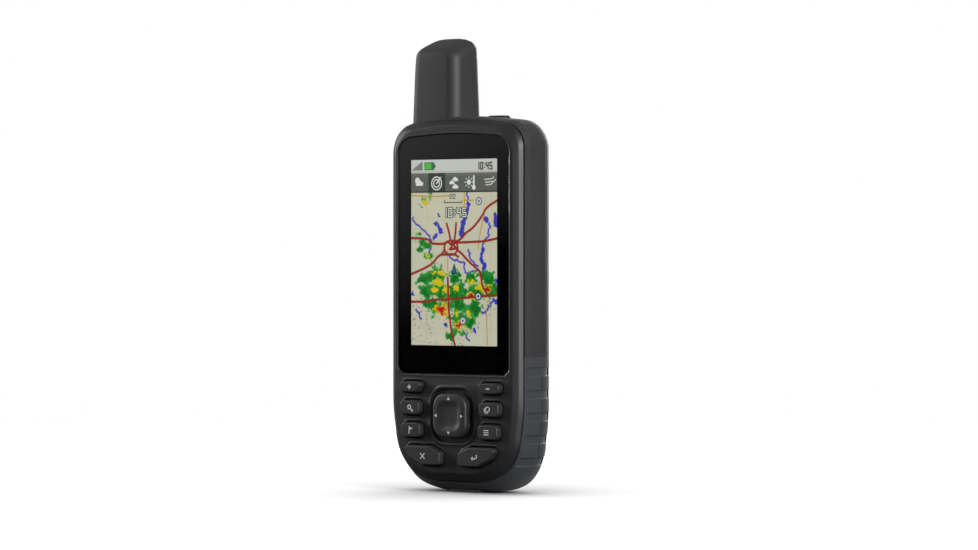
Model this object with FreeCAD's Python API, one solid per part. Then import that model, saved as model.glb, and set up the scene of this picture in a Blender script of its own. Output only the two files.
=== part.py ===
# Handheld satellite navigation unit: millimetres, +Z up, the display faces -Y.
# The origin is the middle of the footprint, on the surface that the unit stands on.
import FreeCAD, Part
import math
import os

V = FreeCAD.Vector
os.makedirs("parts", exist_ok=True)

# ---- driving dimensions -------------------------------------------------------------
MID_Z = 86.1            # height of the middle of the display
HALF_W = 31.1           # half width of the case at its widest
FACE_Y = -14.9          # flat front face
SEAM_Y = -11.7          # joint between the front case and the side band
BAND_Y = -2.3           # joint between the side band and the rear case
BACK_Y = 11.2           # flat back of the rear case
KEY_TOP_Y = -17.5       # faces of the keys
WALL = 2.2              # case wall
GRIP_T = 1.4            # thickness of the rubber grip
REAR_RX = 18.0          # how far the rounded back runs in from each side
REAR_TOP = 13.0         # how far it runs down from the top
REAR_FOOT = 10.0        # how far it runs up from the foot
FOOT_Y = 4.5            # the foot is flat up to here
REAR_STEPS = 12         # flat steps that make up the rounded back
REAR_TURN = 84.0        # degrees that the back turns before its flat face
GAP = 0.25              # running gap around moving pieces
SEAL = 0.3              # half thickness of the case seal

# Outline of the case seen from the front: x, z and corner radius, right half.
OUTLINE = (
    (0.0, 135.9, 160.0),
    (HALF_W, 132.6, 9.5),
    (HALF_W, 27.0, 60.0),
    (28.9, 11.6, 26.0),
    (22.8, 3.6, 26.0),
    (13.5, 0.3, 26.0),
)

# How far the outline steps in at the front: y, then inset at the sides, top and foot.
FRONT_LEVELS = (
    (FACE_Y, 3.8, 3.6, 6.8),
    (-13.4, 1.9, 2.2, 5.2),
    (SEAM_Y, 0.8, 1.1, 3.6),
    (-8.5, 0.3, 0.3, 0.9),
    (-5.0, 0.1, 0.1, 0.0),
    (BAND_Y, 0.0, 0.0, 0.0),
)


# ---- outlines and solids ------------------------------------------------------------
def rounded(corners, place):
    """Closed wire of straight runs and tangent arcs through corners (u, v, radius)."""
    count = len(corners)
    starts = []
    for i, (u, v, radius) in enumerate(corners):
        here = V(u, v, 0)
        before = V(corners[i - 1][0], corners[i - 1][1], 0).sub(here)
        after = V(corners[(i + 1) % count][0], corners[(i + 1) % count][1], 0).sub(here)
        room = 0.47 * min(before.Length, after.Length)
        before.normalize()
        after.normalize()
        half = before.getAngle(after) / 2
        run = min(radius / math.tan(half), room)
        radius = run * math.tan(half)
        inward = before.add(after).normalize()
        middle = here.add(inward.multiply(radius / math.sin(half) - radius))
        starts.append((here.add(before.multiply(run)), middle, here.add(after.multiply(run))))
    edges = []
    for i, (first, middle, last) in enumerate(starts):
        arc = Part.Arc(place(first.x, first.y), place(middle.x, middle.y), place(last.x, last.y))
        edges.append(arc.toShape())
        following = starts[(i + 1) % count][0]
        edges.append(Part.makeLine(place(last.x, last.y), place(following.x, following.y)))
    return Part.Wire(edges)


def front_wire(corners, y):
    """Outline in a plane that faces the front."""
    return rounded(corners, lambda u, v: V(u, y, v))


def plan_wire(corners, z):
    """Outline seen from above."""
    return rounded(corners, lambda u, v: V(u, v, z))


def side_wire(corners, x):
    """Outline seen from the side: u is y, v is z."""
    return rounded(corners, lambda u, v: V(x, u, v))


def mirrored(corners):
    """Full outline from its right half; the corner on the centre line is used once."""
    left = [(-x, z, r) for x, z, r in reversed(corners) if x > 0]
    return list(corners) + left


def grown(corners, amount):
    """Outline with every corner moved away from the middle by the same amount."""
    us = [c[0] for c in corners]
    vs = [c[1] for c in corners]
    u0 = (min(us) + max(us)) / 2
    v0 = (min(vs) + max(vs)) / 2
    ku = 1 + 2 * amount / (max(us) - min(us))
    kv = 1 + 2 * amount / (max(vs) - min(vs))
    return [(u0 + (u - u0) * ku, v0 + (v - v0) * kv, max(r + amount, 0.2)) for u, v, r in corners]


def rectangle(u0, u1, v0, v1, radius):
    return [(u0, v1, radius), (u1, v1, radius), (u1, v0, radius), (u0, v0, radius)]


def prism(corners, y0, y1):
    """Front outline extruded from y0 to y1."""
    return Part.Face(front_wire(corners, y0)).extrude(V(0, y1 - y0, 0))


def box(x0, x1, y0, y1, z0, z1):
    return Part.makeBox(x1 - x0, y1 - y0, z1 - z0, V(x0, y0, z0))


def rod(radius, x, z, y0, y1):
    """Cylinder along Y."""
    return Part.makeCylinder(radius, y1 - y0, V(x, y0, z), V(0, 1, 0))


def joined(shapes):
    whole = shapes[0]
    for shape in shapes[1:]:
        whole = whole.fuse(shape)
    return whole.removeSplitter()


def cut(shape, tools):
    for tool in tools:
        shape = shape.cut(tool)
    return shape


def save(name, shape):
    """One STEP per piece; a group of separate solids stays a compound."""
    solids = shape.Solids
    shape = solids[0] if len(solids) == 1 else Part.makeCompound(solids)
    shape.exportStep("parts/" + name + ".step")
    box_ = shape.BoundBox
    print(f"{name:18s} solids {len(solids)} valid {shape.isValid()} volume {shape.Volume:9.2f}"
          f"  x {box_.XMin:.2f} {box_.XMax:.2f} y {box_.YMin:.2f} {box_.YMax:.2f}"
          f" z {box_.ZMin:.2f} {box_.ZMax:.2f}")
    return shape


# ---- the case's outer form ----------------------------------------------------------
def rear_insets(y):
    """Insets of the rounded back at a plane y behind the side band."""
    turn = (y - BAND_Y) / (BACK_Y - BAND_Y)
    foot_turn = max(0.0, (y - FOOT_Y) / (BACK_Y - FOOT_Y))
    round_in = 1 - math.sqrt(1 - turn * turn)
    foot_in = 1 - math.sqrt(1 - foot_turn * foot_turn)
    return REAR_RX * round_in, REAR_TOP * round_in, REAR_FOOT * foot_in


def case_wire(y, side, top, foot):
    """The case outline stepped in by the given amounts."""
    corners = []
    for x, z, radius in OUTLINE:
        if z > MID_Z:
            z = MID_Z + (z - MID_Z) * (1 - top / (OUTLINE[0][1] - MID_Z))
        else:
            z = MID_Z - (MID_Z - z) * (1 - foot / MID_Z)
        corners.append((x * (1 - side / HALF_W), z, radius))
    return front_wire(mirrored(corners), y)


def front_form(wall, y_first, y_last):
    """Front part of the case, up to the side band's rear edge, stepped in by wall."""
    levels = [level for level in FRONT_LEVELS if y_first < level[0] < y_last]
    ends = []
    for y in (y_first, y_last):
        ends.append((y,) + tuple(between(y, column) for column in (1, 2, 3)))
    wires = [case_wire(y, side + wall, top + wall, foot + wall)
             for y, side, top, foot in [ends[0]] + levels + [ends[1]]]
    return Part.makeLoft(wires, True, True)


def between(y, column):
    """Inset at y, on the straight line between the two nearest front levels."""
    for low, high in zip(FRONT_LEVELS, FRONT_LEVELS[1:]):
        if low[0] <= y <= high[0]:
            part = (y - low[0]) / (high[0] - low[0])
            return low[column] + part * (high[column] - low[column])
    return FRONT_LEVELS[0][column]


def rear_form(wall):
    """Rounded back of the case, stepped in by wall."""
    wires = []
    for step in range(REAR_STEPS + 1):
        y = BAND_Y + (BACK_Y - BAND_Y) * math.sin(math.radians(REAR_TURN * step / REAR_STEPS))
        side, top, foot = rear_insets(y)
        y_in = BAND_Y + (y - BAND_Y) * (BACK_Y - wall - BAND_Y) / (BACK_Y - BAND_Y)
        wires.append(case_wire(y_in, side + wall, top + wall, foot + wall))
    return Part.makeLoft(wires, True, True)


print("forms")
rear_outer = rear_form(0.0)
rear_inner = rear_form(WALL)
rear_skin = rear_form(GRIP_T)
REAR_Y = rear_outer.BoundBox.YMax
BIG = 200.0

# ---- display opening and keys -------------------------------------------------------
GLASS = mirrored([(0.0, MID_Z + 42.9, 200.0), (25.9, MID_Z + 41.2, 6.5), (25.9, MID_Z - 43.8, 3.0)])
GLASS_Y = -14.65
PICTURE_Y = -13.9
WINDOW = rectangle(-21.8, 21.8, MID_Z - 36.2, MID_Z + 35.2, 1.0)
PANEL = rectangle(-21.5, 21.5, MID_Z - 35.9, MID_Z + 34.9, 0.6)

ZOOM = [(12.6, MID_Z - 46.5, 1.2), (23.0, MID_Z - 46.5, 1.5), (23.0, MID_Z - 50.2, 1.8),
        (14.8, MID_Z - 50.2, 1.4)]
UPPER = rectangle(14.0, 22.8, MID_Z - 58.3, MID_Z - 53.3, 1.6)
LOWER = rectangle(13.5, 22.3, MID_Z - 66.4, MID_Z - 61.3, 1.6)
BOTTOM = [(9.0, MID_Z - 69.5, 1.6), (21.8, MID_Z - 69.5, 1.2), (18.6, MID_Z - 73.6, 3.0),
          (13.0, MID_Z - 76.2, 3.0), (4.3, MID_Z - 76.2, 1.2), (4.3, MID_Z - 71.6, 1.6)]


def other_side(corners):
    return [(-u, v, r) for u, v, r in corners]


KEYS = {
    "zoom_in_key": other_side(ZOOM),
    "zoom_out_key": ZOOM,
    "find_key": other_side(UPPER),
    "page_key": UPPER,
    "mark_key": other_side(LOWER),
    "menu_key": LOWER,
    "quit_key": other_side(BOTTOM),
    "enter_key": BOTTOM,
}
KEY_FOOT_Y = -12.2
FACE_WALL_Y = -12.9     # inside of the front wall
SCREWS = [(side * 24.2, z) for side in (-1, 1) for z in (53.0, 85.0, 117.0)]
MAT_Y = (-11.3, -10.4)
BOARD_Y = (-9.8, -8.6)

ROCKER_Z = MID_Z - 58.4
WELL = rectangle(-9.6, 9.6, ROCKER_Z - 9.6, ROCKER_Z + 9.6, 5.5)
PAD = rectangle(-7.7, 7.7, ROCKER_Z - 7.9, ROCKER_Z + 7.9, 5.0)


room_behind = front_form(WALL + 0.3, FACE_WALL_Y, KEY_FOOT_Y)


def key_cap(corners):
    """Key with drafted sides, an eased top edge and a flange behind the front wall."""
    eased = 0.45
    wires = [
        front_wire(grown(corners, 0.35), FACE_WALL_Y),
        front_wire(grown(corners, 0.05), KEY_TOP_Y + eased),
        front_wire(grown(corners, -eased), KEY_TOP_Y),
    ]
    cap = Part.makeLoft(wires, True, True)
    flange = prism(grown(corners, 0.9), FACE_WALL_Y, KEY_FOOT_Y).common(room_behind)
    return joined([cap, flange])


print("keys")
for name, corners in KEYS.items():
    save(name, key_cap(corners))

dish = Part.makeSphere(22.0, V(0, -17.3 - 21.45, ROCKER_Z))
pad = Part.makeLoft([
    front_wire(grown(PAD, 0.2), -14.4),
    front_wire(grown(PAD, -0.1), -16.7),
    front_wire(grown(PAD, -0.9), -17.3),
], True, True)
stem = rod(2.8, 0, ROCKER_Z, -14.6, -12.2)
save("rocker_pad", joined([pad.cut(dish), stem]))
ring = rod(4.3, 0, ROCKER_Z, -13.7, -12.4).cut(rod(3.1, 0, ROCKER_Z, -14.0, -12.0))
save("rocker_pivot", ring)

# ---- front case ---------------------------------------------------------------------
print("front")
front = front_form(0.0, FACE_Y, SEAM_Y - SEAL)
hollow = front_form(WALL, FACE_Y + 0.01, SEAM_Y).common(box(-BIG, BIG, FACE_WALL_Y, 0, -BIG, BIG))
front = front.cut(hollow)
posts = [rod(2.4, x, z, FACE_WALL_Y - 0.3, BOARD_Y[0]) for x, z in SCREWS]
front = joined([front] + posts)
openings = [
    prism(GLASS, FACE_Y - 1, PICTURE_Y),
    prism(WINDOW, FACE_Y - 1, FACE_WALL_Y + 1),
    prism(WELL, FACE_Y - 1, -13.8),
    rod(4.7, 0, ROCKER_Z, FACE_Y - 1, FACE_WALL_Y + 1),
]
openings += [prism(grown(corners, 0.35 + GAP), FACE_Y - 1, FACE_WALL_Y + 1) for corners in KEYS.values()]
openings += [rod(1.0, x, z, FACE_WALL_Y, BOARD_Y[0] + 1) for x, z in SCREWS]
save("front_case", cut(front, openings))

glass_edge = grown(GLASS, -0.12)
save("display_glass", prism(glass_edge, GLASS_Y, PICTURE_Y - 0.15))
adhesive = prism(grown(GLASS, -0.3), PICTURE_Y - 0.15, PICTURE_Y)
save("glass_adhesive", adhesive.cut(prism(grown(WINDOW, 0.4), FACE_Y, 0)))
FRAME_Y = (-12.3, -11.1)
save("display_panel", prism(PANEL, PICTURE_Y + 0.05, FRAME_Y[0]))
tray = prism(PANEL, FRAME_Y[0], FRAME_Y[1])
save("display_frame", tray)
flex_z = MID_Z - 35.9
flex = [
    box(-7, 7, FRAME_Y[1], FRAME_Y[1] + 0.15, flex_z, flex_z + 8),
    box(-7, 7, FRAME_Y[1], BOARD_Y[0], flex_z - 0.15, flex_z),
]
save("display_flex", joined(flex))

# ---- keypad behind the front wall ---------------------------------------------------
KEYPAD = mirrored([(25.0, MID_Z - 45.0, 2.0), (25.0, MID_Z - 64.0, 4.0), (20.0, MID_Z - 73.0, 6.0),
                   (11.0, MID_Z - 76.5, 3.0)])
save("keypad_mat", prism(KEYPAD, *MAT_Y))
save("dome_sheet", prism(grown(KEYPAD, -0.5), BOARD_Y[0] - 0.2, BOARD_Y[0]))

# ---- seal and side band -------------------------------------------------------------
print("band")
seal_form = front_form(0.9, SEAM_Y - SEAL, SEAM_Y + SEAL)
seal = seal_form.cut(front_form(WALL, SEAM_Y - SEAL - 0.2, SEAM_Y + SEAL + 0.2))
save("case_seal", seal)

GRIP_TOP = MID_Z - 37.0
GRIP_BACK_Y = 6.0
GRIP_PITCH = 8.05
GRIP_STRIP = 3.0
GRIP_STRIPS = [MID_Z - 43.9 - GRIP_PITCH * i for i in range(5)]
STRIP_DEPTH = 0.45
GROOVE = 0.35

band_outer = front_form(0.0, SEAM_Y + SEAL, BAND_Y)
band_inner = front_form(WALL, SEAM_Y + SEAL - 0.1, BAND_Y)
band_skin = front_form(GRIP_T, SEAM_Y + SEAL - 0.1, BAND_Y)
grip_zone = box(-BIG, BIG, -BIG, BIG, -1, GRIP_TOP)
band_grip = band_outer.cut(band_skin).common(grip_zone)
rear_grip = rear_outer.cut(rear_skin).common(box(-BIG, BIG, BAND_Y, GRIP_BACK_Y, -1, GRIP_TOP))

POWER = rectangle(5.8, 14.3, -3.5, 1.7, 2.2)
power_hole = Part.Face(plan_wire(grown(POWER, GAP), 120)).extrude(V(0, 0, 30))
lead_hole = Part.makeCylinder(2.0, 20, V(-14.3, -1.1, 118), V(0, 0, 1))

band = cut(band_outer, [band_inner, band_grip, power_hole, lead_hole])
save("side_band", band)

grip = band_grip.fuse(rear_grip).removeSplitter()
deep_band = band_outer.cut(front_form(STRIP_DEPTH, SEAM_Y + SEAL - 0.1, BAND_Y))
deep_rear = rear_outer.cut(rear_form(STRIP_DEPTH))
for z in GRIP_STRIPS:
    slab = box(-BIG, BIG, -BIG, BIG, z, z + GRIP_STRIP)
    grip = cut(grip, [deep_band.common(slab), deep_rear.common(slab)])
line_front = front_form(0.8, BAND_Y - GROOVE, BAND_Y)
line_rear = rear_form(0.8).common(box(-BIG, BIG, BAND_Y, BAND_Y + GROOVE, -BIG, BIG))
line = box(-BIG, BIG, BAND_Y - GROOVE, BAND_Y + GROOVE, 14.0, GRIP_TOP - 3.0)
grip = grip.cut(line.cut(line_front).cut(line_rear))
foot = box(-7.5, 7.5, -8.5, 4.0, 0.0, 1.2)
save("grip_rubber", joined([grip, foot]))

# ---- rear case with its openings ----------------------------------------------------
print("rear")
DOOR = rectangle(-19.6, 19.6, 10.5, 69.5, 4.0)
DOOR_T = 1.6
USB = rectangle(2.6, 13.6, 108.5, 118.5, 1.5)
JACK = rectangle(-13.6, -2.6, 108.5, 118.5, 1.5)
CAP_T = 1.0
CAM_Z = 21.5

TRAY_Z = (11.6, 68.4)
TRAY_Y = (-6.9, 8.4)
TRAY_X = 17.4
TRAY_T = 1.2
bosses = [rod(3.2, x, z, -8.4, REAR_Y).common(rear_outer) for x, z in SCREWS]
boss_lower = [rod(3.2, x, z, -8.4, BAND_Y) for x, z in SCREWS]
rear = joined([rear_outer.cut(rear_inner)] + [b.fuse(c) for b, c in zip(bosses, boss_lower)])
HEAD_Y = 4.0
rear_cuts = [
    rear_grip,
    prism(grown(DOOR, GAP), 3.0, REAR_Y + 5),
    prism(grown(USB, 0.2), REAR_Y - CAP_T - 0.15, REAR_Y + 5),
    prism(grown(JACK, 0.2), REAR_Y - CAP_T - 0.15, REAR_Y + 5),
    box(4.0, 12.2, 0, REAR_Y, 111.3, 115.7),
    rod(2.9, -8.1, 113.5, 0, REAR_Y),
    power_hole,
    lead_hole,
]
rear_cuts += [rod(1.3, x, z, -9, HEAD_Y + 1) for x, z in SCREWS]
rear_cuts += [rod(2.2, x, z, HEAD_Y, REAR_Y + 1) for x, z in SCREWS]
save("rear_case", cut(rear, rear_cuts))

door_inner = rear_form(DOOR_T)
door_plate = rear_outer.cut(door_inner).common(prism(DOOR, 3.0, REAR_Y + 5))
CAM_R = 8.5
CAM_SEAT_Y = REAR_Y - 0.7
door_cuts = [rod(CAM_R + GAP, 0, CAM_Z, CAM_SEAT_Y, REAR_Y + 5), rod(2.6, 0, CAM_Z, 5, REAR_Y)]
save("battery_door", cut(door_plate, door_cuts))
behind_door = rear_outer.cut(rear_form(DOOR_T + 0.05))
seal_ring = prism(rectangle(-17.2, 17.2, 11.8, 68.2, 3.0), 8.42, 8.9)
seal_ring = seal_ring.cut(prism(rectangle(-16.4, 16.4, 12.8, 67.2, 2.4), 8, 10))
save("door_seal", seal_ring.cut(behind_door))

tray_solid = box(-TRAY_X, TRAY_X, TRAY_Y[0], TRAY_Y[1], *TRAY_Z)
tray_room = box(-TRAY_X + TRAY_T, TRAY_X - TRAY_T, TRAY_Y[0] + 0.8, TRAY_Y[1] + 1,
                TRAY_Z[0] + TRAY_T, TRAY_Z[1] - TRAY_T)
save("battery_tray", cut(tray_solid, [tray_room, rear_outer.cut(rear_form(DOOR_T + 0.4))]))

# ---- cells and their contacts -------------------------------------------------------
CELL_R = 7.2
CELL_Y = 1.3
CELL_X = 7.6
CELL_L = 49.5
NUB = 1.0
LOW_Z = TRAY_Z[0] + TRAY_T + 0.3
HIGH_Z = TRAY_Z[1] - TRAY_T - 0.3


def cell(x, z_nub, up):
    """One AA cell; its raised terminal touches z_nub."""
    way = 1 if up else -1
    nub = Part.makeCylinder(2.7, NUB, V(x, CELL_Y, z_nub - way * NUB), V(0, 0, way))
    can = Part.makeCylinder(CELL_R, CELL_L, V(x, CELL_Y, z_nub - way * NUB), V(0, 0, -way))
    return joined([nub, can])


save("cell_left", cell(-CELL_X, HIGH_Z, True))
save("cell_right", cell(CELL_X, LOW_Z, False))
spring_l = HIGH_Z - LOW_Z - CELL_L - NUB
springs = [
    Part.makeCone(3.6, 2.2, spring_l, V(-CELL_X, CELL_Y, LOW_Z), V(0, 0, 1)),
    Part.makeCone(3.6, 2.2, spring_l, V(CELL_X, CELL_Y, HIGH_Z), V(0, 0, -1)),
]
save("contact_springs", Part.makeCompound(springs))
plates = []
for z in (LOW_Z - 0.3, HIGH_Z):
    for x in (-CELL_X, CELL_X):
        plates.append(box(x - 4.5, x + 4.5, CELL_Y - 4.5, CELL_Y + 4.5, z, z + 0.3))
save("contact_plates", Part.makeCompound(plates))

# ---- battery door lock --------------------------------------------------------------
CAM_TOP_Y = REAR_Y + 0.8
RING_Y = CAM_TOP_Y + 0.95
RING_R = 0.8
disc = rod(CAM_R, 0, CAM_Z, CAM_SEAT_Y + 0.1, CAM_TOP_Y)
shaft = rod(2.3, 0, CAM_Z, 8.8, CAM_SEAT_Y + 0.2)
tongue = box(-2.4, 2.4, 8.75, 9.3, CAM_Z - 7.0, CAM_Z + 2.4)
lug = box(-2.2, 2.2, CAM_TOP_Y - 0.2, RING_Y + 1.5, CAM_Z - 1.6, CAM_Z + 1.6)
bar_hole = Part.makeCylinder(RING_R + 0.1, 10, V(-5, RING_Y, CAM_Z), V(1, 0, 0))
seal_groove = rod(6.95, 0, CAM_Z, CAM_SEAT_Y, CAM_SEAT_Y + 0.62)
seal_groove = seal_groove.cut(rod(5.85, 0, CAM_Z, CAM_SEAT_Y - 1, CAM_SEAT_Y + 1))
save("lock_cam", cut(joined([disc, shaft, tongue, lug]), [bar_hole, seal_groove]))
gasket = rod(6.9, 0, CAM_Z, CAM_SEAT_Y + 0.02, CAM_SEAT_Y + 0.6)
save("cam_seal", gasket.cut(rod(5.9, 0, CAM_Z, CAM_SEAT_Y - 1, CAM_SEAT_Y + 1)))
RING_W = 7.0
RING_H = 11.0
bar = Part.makeLine(V(-RING_W, RING_Y, CAM_Z), V(RING_W, RING_Y, CAM_Z))
leg_z = CAM_Z - 4.0
right_leg = Part.makeLine(V(RING_W, RING_Y, CAM_Z), V(RING_W, RING_Y, leg_z))
bow = Part.Arc(V(RING_W, RING_Y, leg_z), V(0, RING_Y, CAM_Z - RING_H), V(-RING_W, RING_Y, leg_z)).toShape()
left_leg = Part.makeLine(V(-RING_W, RING_Y, leg_z), V(-RING_W, RING_Y, CAM_Z))


def ring_piece(edge, start, direction):
    circle = Part.Wire(Part.makeCircle(RING_R, start, direction))
    return Part.Wire([edge]).makePipeShell([circle], True, True)


pieces = [
    ring_piece(bar, V(-RING_W, RING_Y, CAM_Z), V(1, 0, 0)),
    ring_piece(right_leg, V(RING_W, RING_Y, CAM_Z), V(0, 0, -1)),
    ring_piece(bow, V(RING_W, RING_Y, leg_z), bow.tangentAt(bow.FirstParameter)),
    ring_piece(left_leg, V(-RING_W, RING_Y, leg_z), V(0, 0, 1)),
]
pieces += [Part.makeSphere(RING_R, V(x, RING_Y, z)) for x in (-RING_W, RING_W) for z in (CAM_Z, leg_z)]
save("d_ring", joined(pieces))

# ---- ports on the back --------------------------------------------------------------
cap_zone = box(-BIG, BIG, REAR_Y - CAP_T, REAR_Y + 5, -BIG, BIG)
save("usb_cap", prism(USB, 5, REAR_Y + 1).common(rear_outer).common(cap_zone))
save("jack_cap", prism(JACK, 5, REAR_Y + 1).common(rear_outer).common(cap_zone))
PORT_Y = REAR_Y - CAP_T - 0.5
usb = box(4.2, 12.0, PORT_Y - 8.0, PORT_Y, 111.5, 115.5)
save("usb_socket", usb.cut(box(4.7, 11.5, PORT_Y - 6.5, PORT_Y + 1, 112.0, 115.0)))
jack = joined([rod(2.7, -8.1, 113.5, PORT_Y - 6, PORT_Y), rod(1.2, -8.1, 113.5, PORT_Y - 9, PORT_Y - 6)])
save("antenna_jack", jack.cut(rod(1.75, -8.1, 113.5, PORT_Y - 5, PORT_Y + 1)))

SPINE_TOP_Y = 17.5
foot_plate = prism(rectangle(-6.6, 6.6, 76.0, 104.5, 2.0), REAR_Y, SPINE_TOP_Y - 2.4)
head_plate = prism(rectangle(-10.2, 10.2, 76.0, 104.5, 2.5), SPINE_TOP_Y - 2.4, SPINE_TOP_Y)
catch = prism(rectangle(-3.0, 3.0, 96.0, 99.0, 0.8), SPINE_TOP_Y - 1.2, SPINE_TOP_Y + 1)
spine_holes = [rod(1.1, 0, z, REAR_Y, SPINE_TOP_Y) for z in (81.0, 91.0)]
spine_holes += [rod(2.1, 0, z, SPINE_TOP_Y - 1.6, SPINE_TOP_Y + 1) for z in (81.0, 91.0)]
save("mounting_spine", cut(joined([foot_plate, head_plate]), [catch] + spine_holes))
spine_screws = []
for z in (81.0, 91.0):
    body = rod(1.0, 0, z, REAR_Y + 0.05, SPINE_TOP_Y - 1.6)
    spine_screws.append(joined([body, rod(2.0, 0, z, SPINE_TOP_Y - 1.6, SPINE_TOP_Y - 0.3)]))
save("spine_screws", Part.makeCompound(spine_screws))

case_screws = []
for x, z in SCREWS:
    shank = rod(0.98, x, z, FACE_WALL_Y + 0.6, HEAD_Y)
    case_screws.append(joined([shank, rod(2.0, x, z, HEAD_Y, HEAD_Y + 1.6)]))
save("case_screws", Part.makeCompound(case_screws))

# ---- electronics --------------------------------------------------------------------
print("electronics")
BOARD = mirrored([(26.6, 124.0, 6.0), (26.6, 50.0, 30.0), (25.6, 28.0, 8.0), (21.5, 15.0, 5.0)])
board_holes = [rod(1.4, x, z, -12, -5) for x, z in SCREWS]
save("main_board", cut(prism(BOARD, *BOARD_Y), board_holes))
can_form = box(-19, 19, BOARD_Y[1], BOARD_Y[1] + 2.3, 78, 108)
can_room = box(-18.7, 18.7, BOARD_Y[1], BOARD_Y[1] + 2.0, 78.3, 107.7)
save("shield_can", can_form.cut(can_room))
chips = [
    box(-15, -1, BOARD_Y[1], BOARD_Y[1] + 1.2, 84, 98),
    box(3, 13, BOARD_Y[1], BOARD_Y[1] + 1.0, 88, 100),
    box(4, 9, BOARD_Y[1], BOARD_Y[1] + 0.9, 80, 85),
]
save("board_chips", Part.makeCompound(chips))
save("buzzer", rod(4.4, 14.0, 113.0, BOARD_Y[1], BOARD_Y[1] + 2.6))
save("backup_cell", rod(3.4, -12.0, 116.0, BOARD_Y[1], BOARD_Y[1] + 1.4))
save("pressure_sensor", box(-2, 2, BOARD_Y[1], BOARD_Y[1] + 1.1, 114, 117.5))
save("card_socket", box(-7, 7, BOARD_Y[1], BOARD_Y[1] + 1.5, 32, 47.5).cut(
    box(-5.7, 5.7, BOARD_Y[1] + 0.2, BOARD_Y[1] + 1.3, 31, 47.2)))
save("memory_card", box(-5.5, 5.5, BOARD_Y[1] + 0.3, BOARD_Y[1] + 1.2, 32.2, 47.2))

power_low = 125.6
power = Part.makeLoft([
    plan_wire(POWER, power_low),
    plan_wire(POWER, 134.75),
    plan_wire(grown(POWER, -0.5), 135.2),
], True, True)
save("power_key", power)
switch = [box(7.0, 13.0, BOARD_Y[1], 1.4, 120.4, 122.4), box(8.5, 11.6, -2.4, 0.6, 122.4, 124.4)]
save("power_switch", joined(switch))

# ---- antenna ------------------------------------------------------------------------
print("antenna")
ANT_X = -14.3
ANT_Y = -1.1
ANT_TOP = 165.0


def antenna_form(wall):
    """Tapered stub with a top that slopes up towards the back."""
    levels = ((122.0, 11.3, 8.9, 4.6), (150.0, 10.6, 8.0, 4.4), (170.0, 9.9, 7.3, 4.2))
    wires = []
    for z, half_x, half_y, radius in levels:
        corners = rectangle(ANT_X - half_x + wall, ANT_X + half_x - wall,
                            ANT_Y - half_y + wall, ANT_Y + half_y - wall, radius - wall)
        wires.append(plan_wire(corners, z))
    stub = Part.makeLoft(wires, True, True)
    top = ANT_TOP - wall
    crown = [(-14.0, 100.0, 1), (-14.0, top - 11.0, 1.0), (-8.6, top - 5.6, 6.0), (3.4, top + 0.4, 8.0),
             (12.0, top - 8.0, 1.0), (12.0, 100.0, 1)]
    along_x = Part.Face(side_wire(crown, -40)).extrude(V(60, 0, 0))
    left, right = ANT_X - 10.5 + wall, ANT_X + 10.3 - wall
    arch = [(left, top, 3.5), (right, top, 6.5 - wall), (right, 100.0, 1.0), (left, 100.0, 1.0)]
    across = Part.Face(front_wire(arch, -30)).extrude(V(0, 60, 0))
    return stub.common(along_x).common(across)


case_top = band_outer.fuse(rear_outer)
cover = antenna_form(0.0).cut(case_top)
room = antenna_form(1.4).cut(case_top)
save("antenna_cover", cover.cut(room))
core = Part.makeCylinder(5.6, 20.0, V(ANT_X, ANT_Y, 136.2), V(0, 0, 1))
save("antenna_core", core)
lead = Part.makeCylinder(0.9, 136.2 - 124.6, V(ANT_X, ANT_Y, 124.6), V(0, 0, 1))
bend = Part.makeTorus(2.6, 0.9, V(ANT_X, ANT_Y - 2.6, 124.6), V(1, 0, 0))
bend = bend.common(box(ANT_X - 2, ANT_X + 2, ANT_Y - 2.6, ANT_Y + 2, 120, 124.6))
lead_run = Part.makeCylinder(0.9, ANT_Y - 2.6 - BOARD_Y[1], V(ANT_X, BOARD_Y[1], 122.0), V(0, 1, 0))
save("antenna_lead", joined([lead, bend, lead_run]))
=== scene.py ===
import math

import bmesh
import bpy
import numpy as np
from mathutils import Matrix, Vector
from mathutils.geometry import delaunay_2d_cdt


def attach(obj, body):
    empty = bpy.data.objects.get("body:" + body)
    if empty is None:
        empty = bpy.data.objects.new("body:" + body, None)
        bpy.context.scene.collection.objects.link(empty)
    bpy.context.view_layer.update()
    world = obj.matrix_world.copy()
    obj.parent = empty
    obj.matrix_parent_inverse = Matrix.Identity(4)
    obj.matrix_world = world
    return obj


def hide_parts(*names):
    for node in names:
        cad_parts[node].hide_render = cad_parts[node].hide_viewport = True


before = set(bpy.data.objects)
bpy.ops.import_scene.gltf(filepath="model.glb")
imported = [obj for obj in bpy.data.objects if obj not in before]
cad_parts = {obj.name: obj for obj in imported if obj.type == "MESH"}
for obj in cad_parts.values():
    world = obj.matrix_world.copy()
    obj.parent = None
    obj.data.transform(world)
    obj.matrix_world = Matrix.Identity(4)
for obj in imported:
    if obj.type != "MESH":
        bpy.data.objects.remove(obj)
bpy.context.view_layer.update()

bl_info = {
    "name": "Handheld navigator builder",
    "version": (1, 0, 0),
    "blender": (4, 5, 0),
    "location": "View3D > Sidebar > Navigator",
    "description": "Builds the visible pieces of a handheld navigation unit around its frame",
    "category": "Object",
}

MM = 0.001

# The case outline seen from the front, right half: x, z and corner radius in millimetres.
HALF_W = 31.1
MID_Z = 86.1
TOP_Z = 135.9
OUTLINE = (
    (0.0, TOP_Z, 160.0),
    (HALF_W, 132.6, 9.5),
    (HALF_W, 27.0, 60.0),
    (28.9, 11.6, 26.0),
    (22.8, 3.6, 26.0),
    (13.5, 0.3, 26.0),
)
FACE_Y = -14.9
SEAM_Y = -11.7
BAND_Y = -2.3
BACK_Y = 11.2
PICTURE_Y = -13.9
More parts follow.
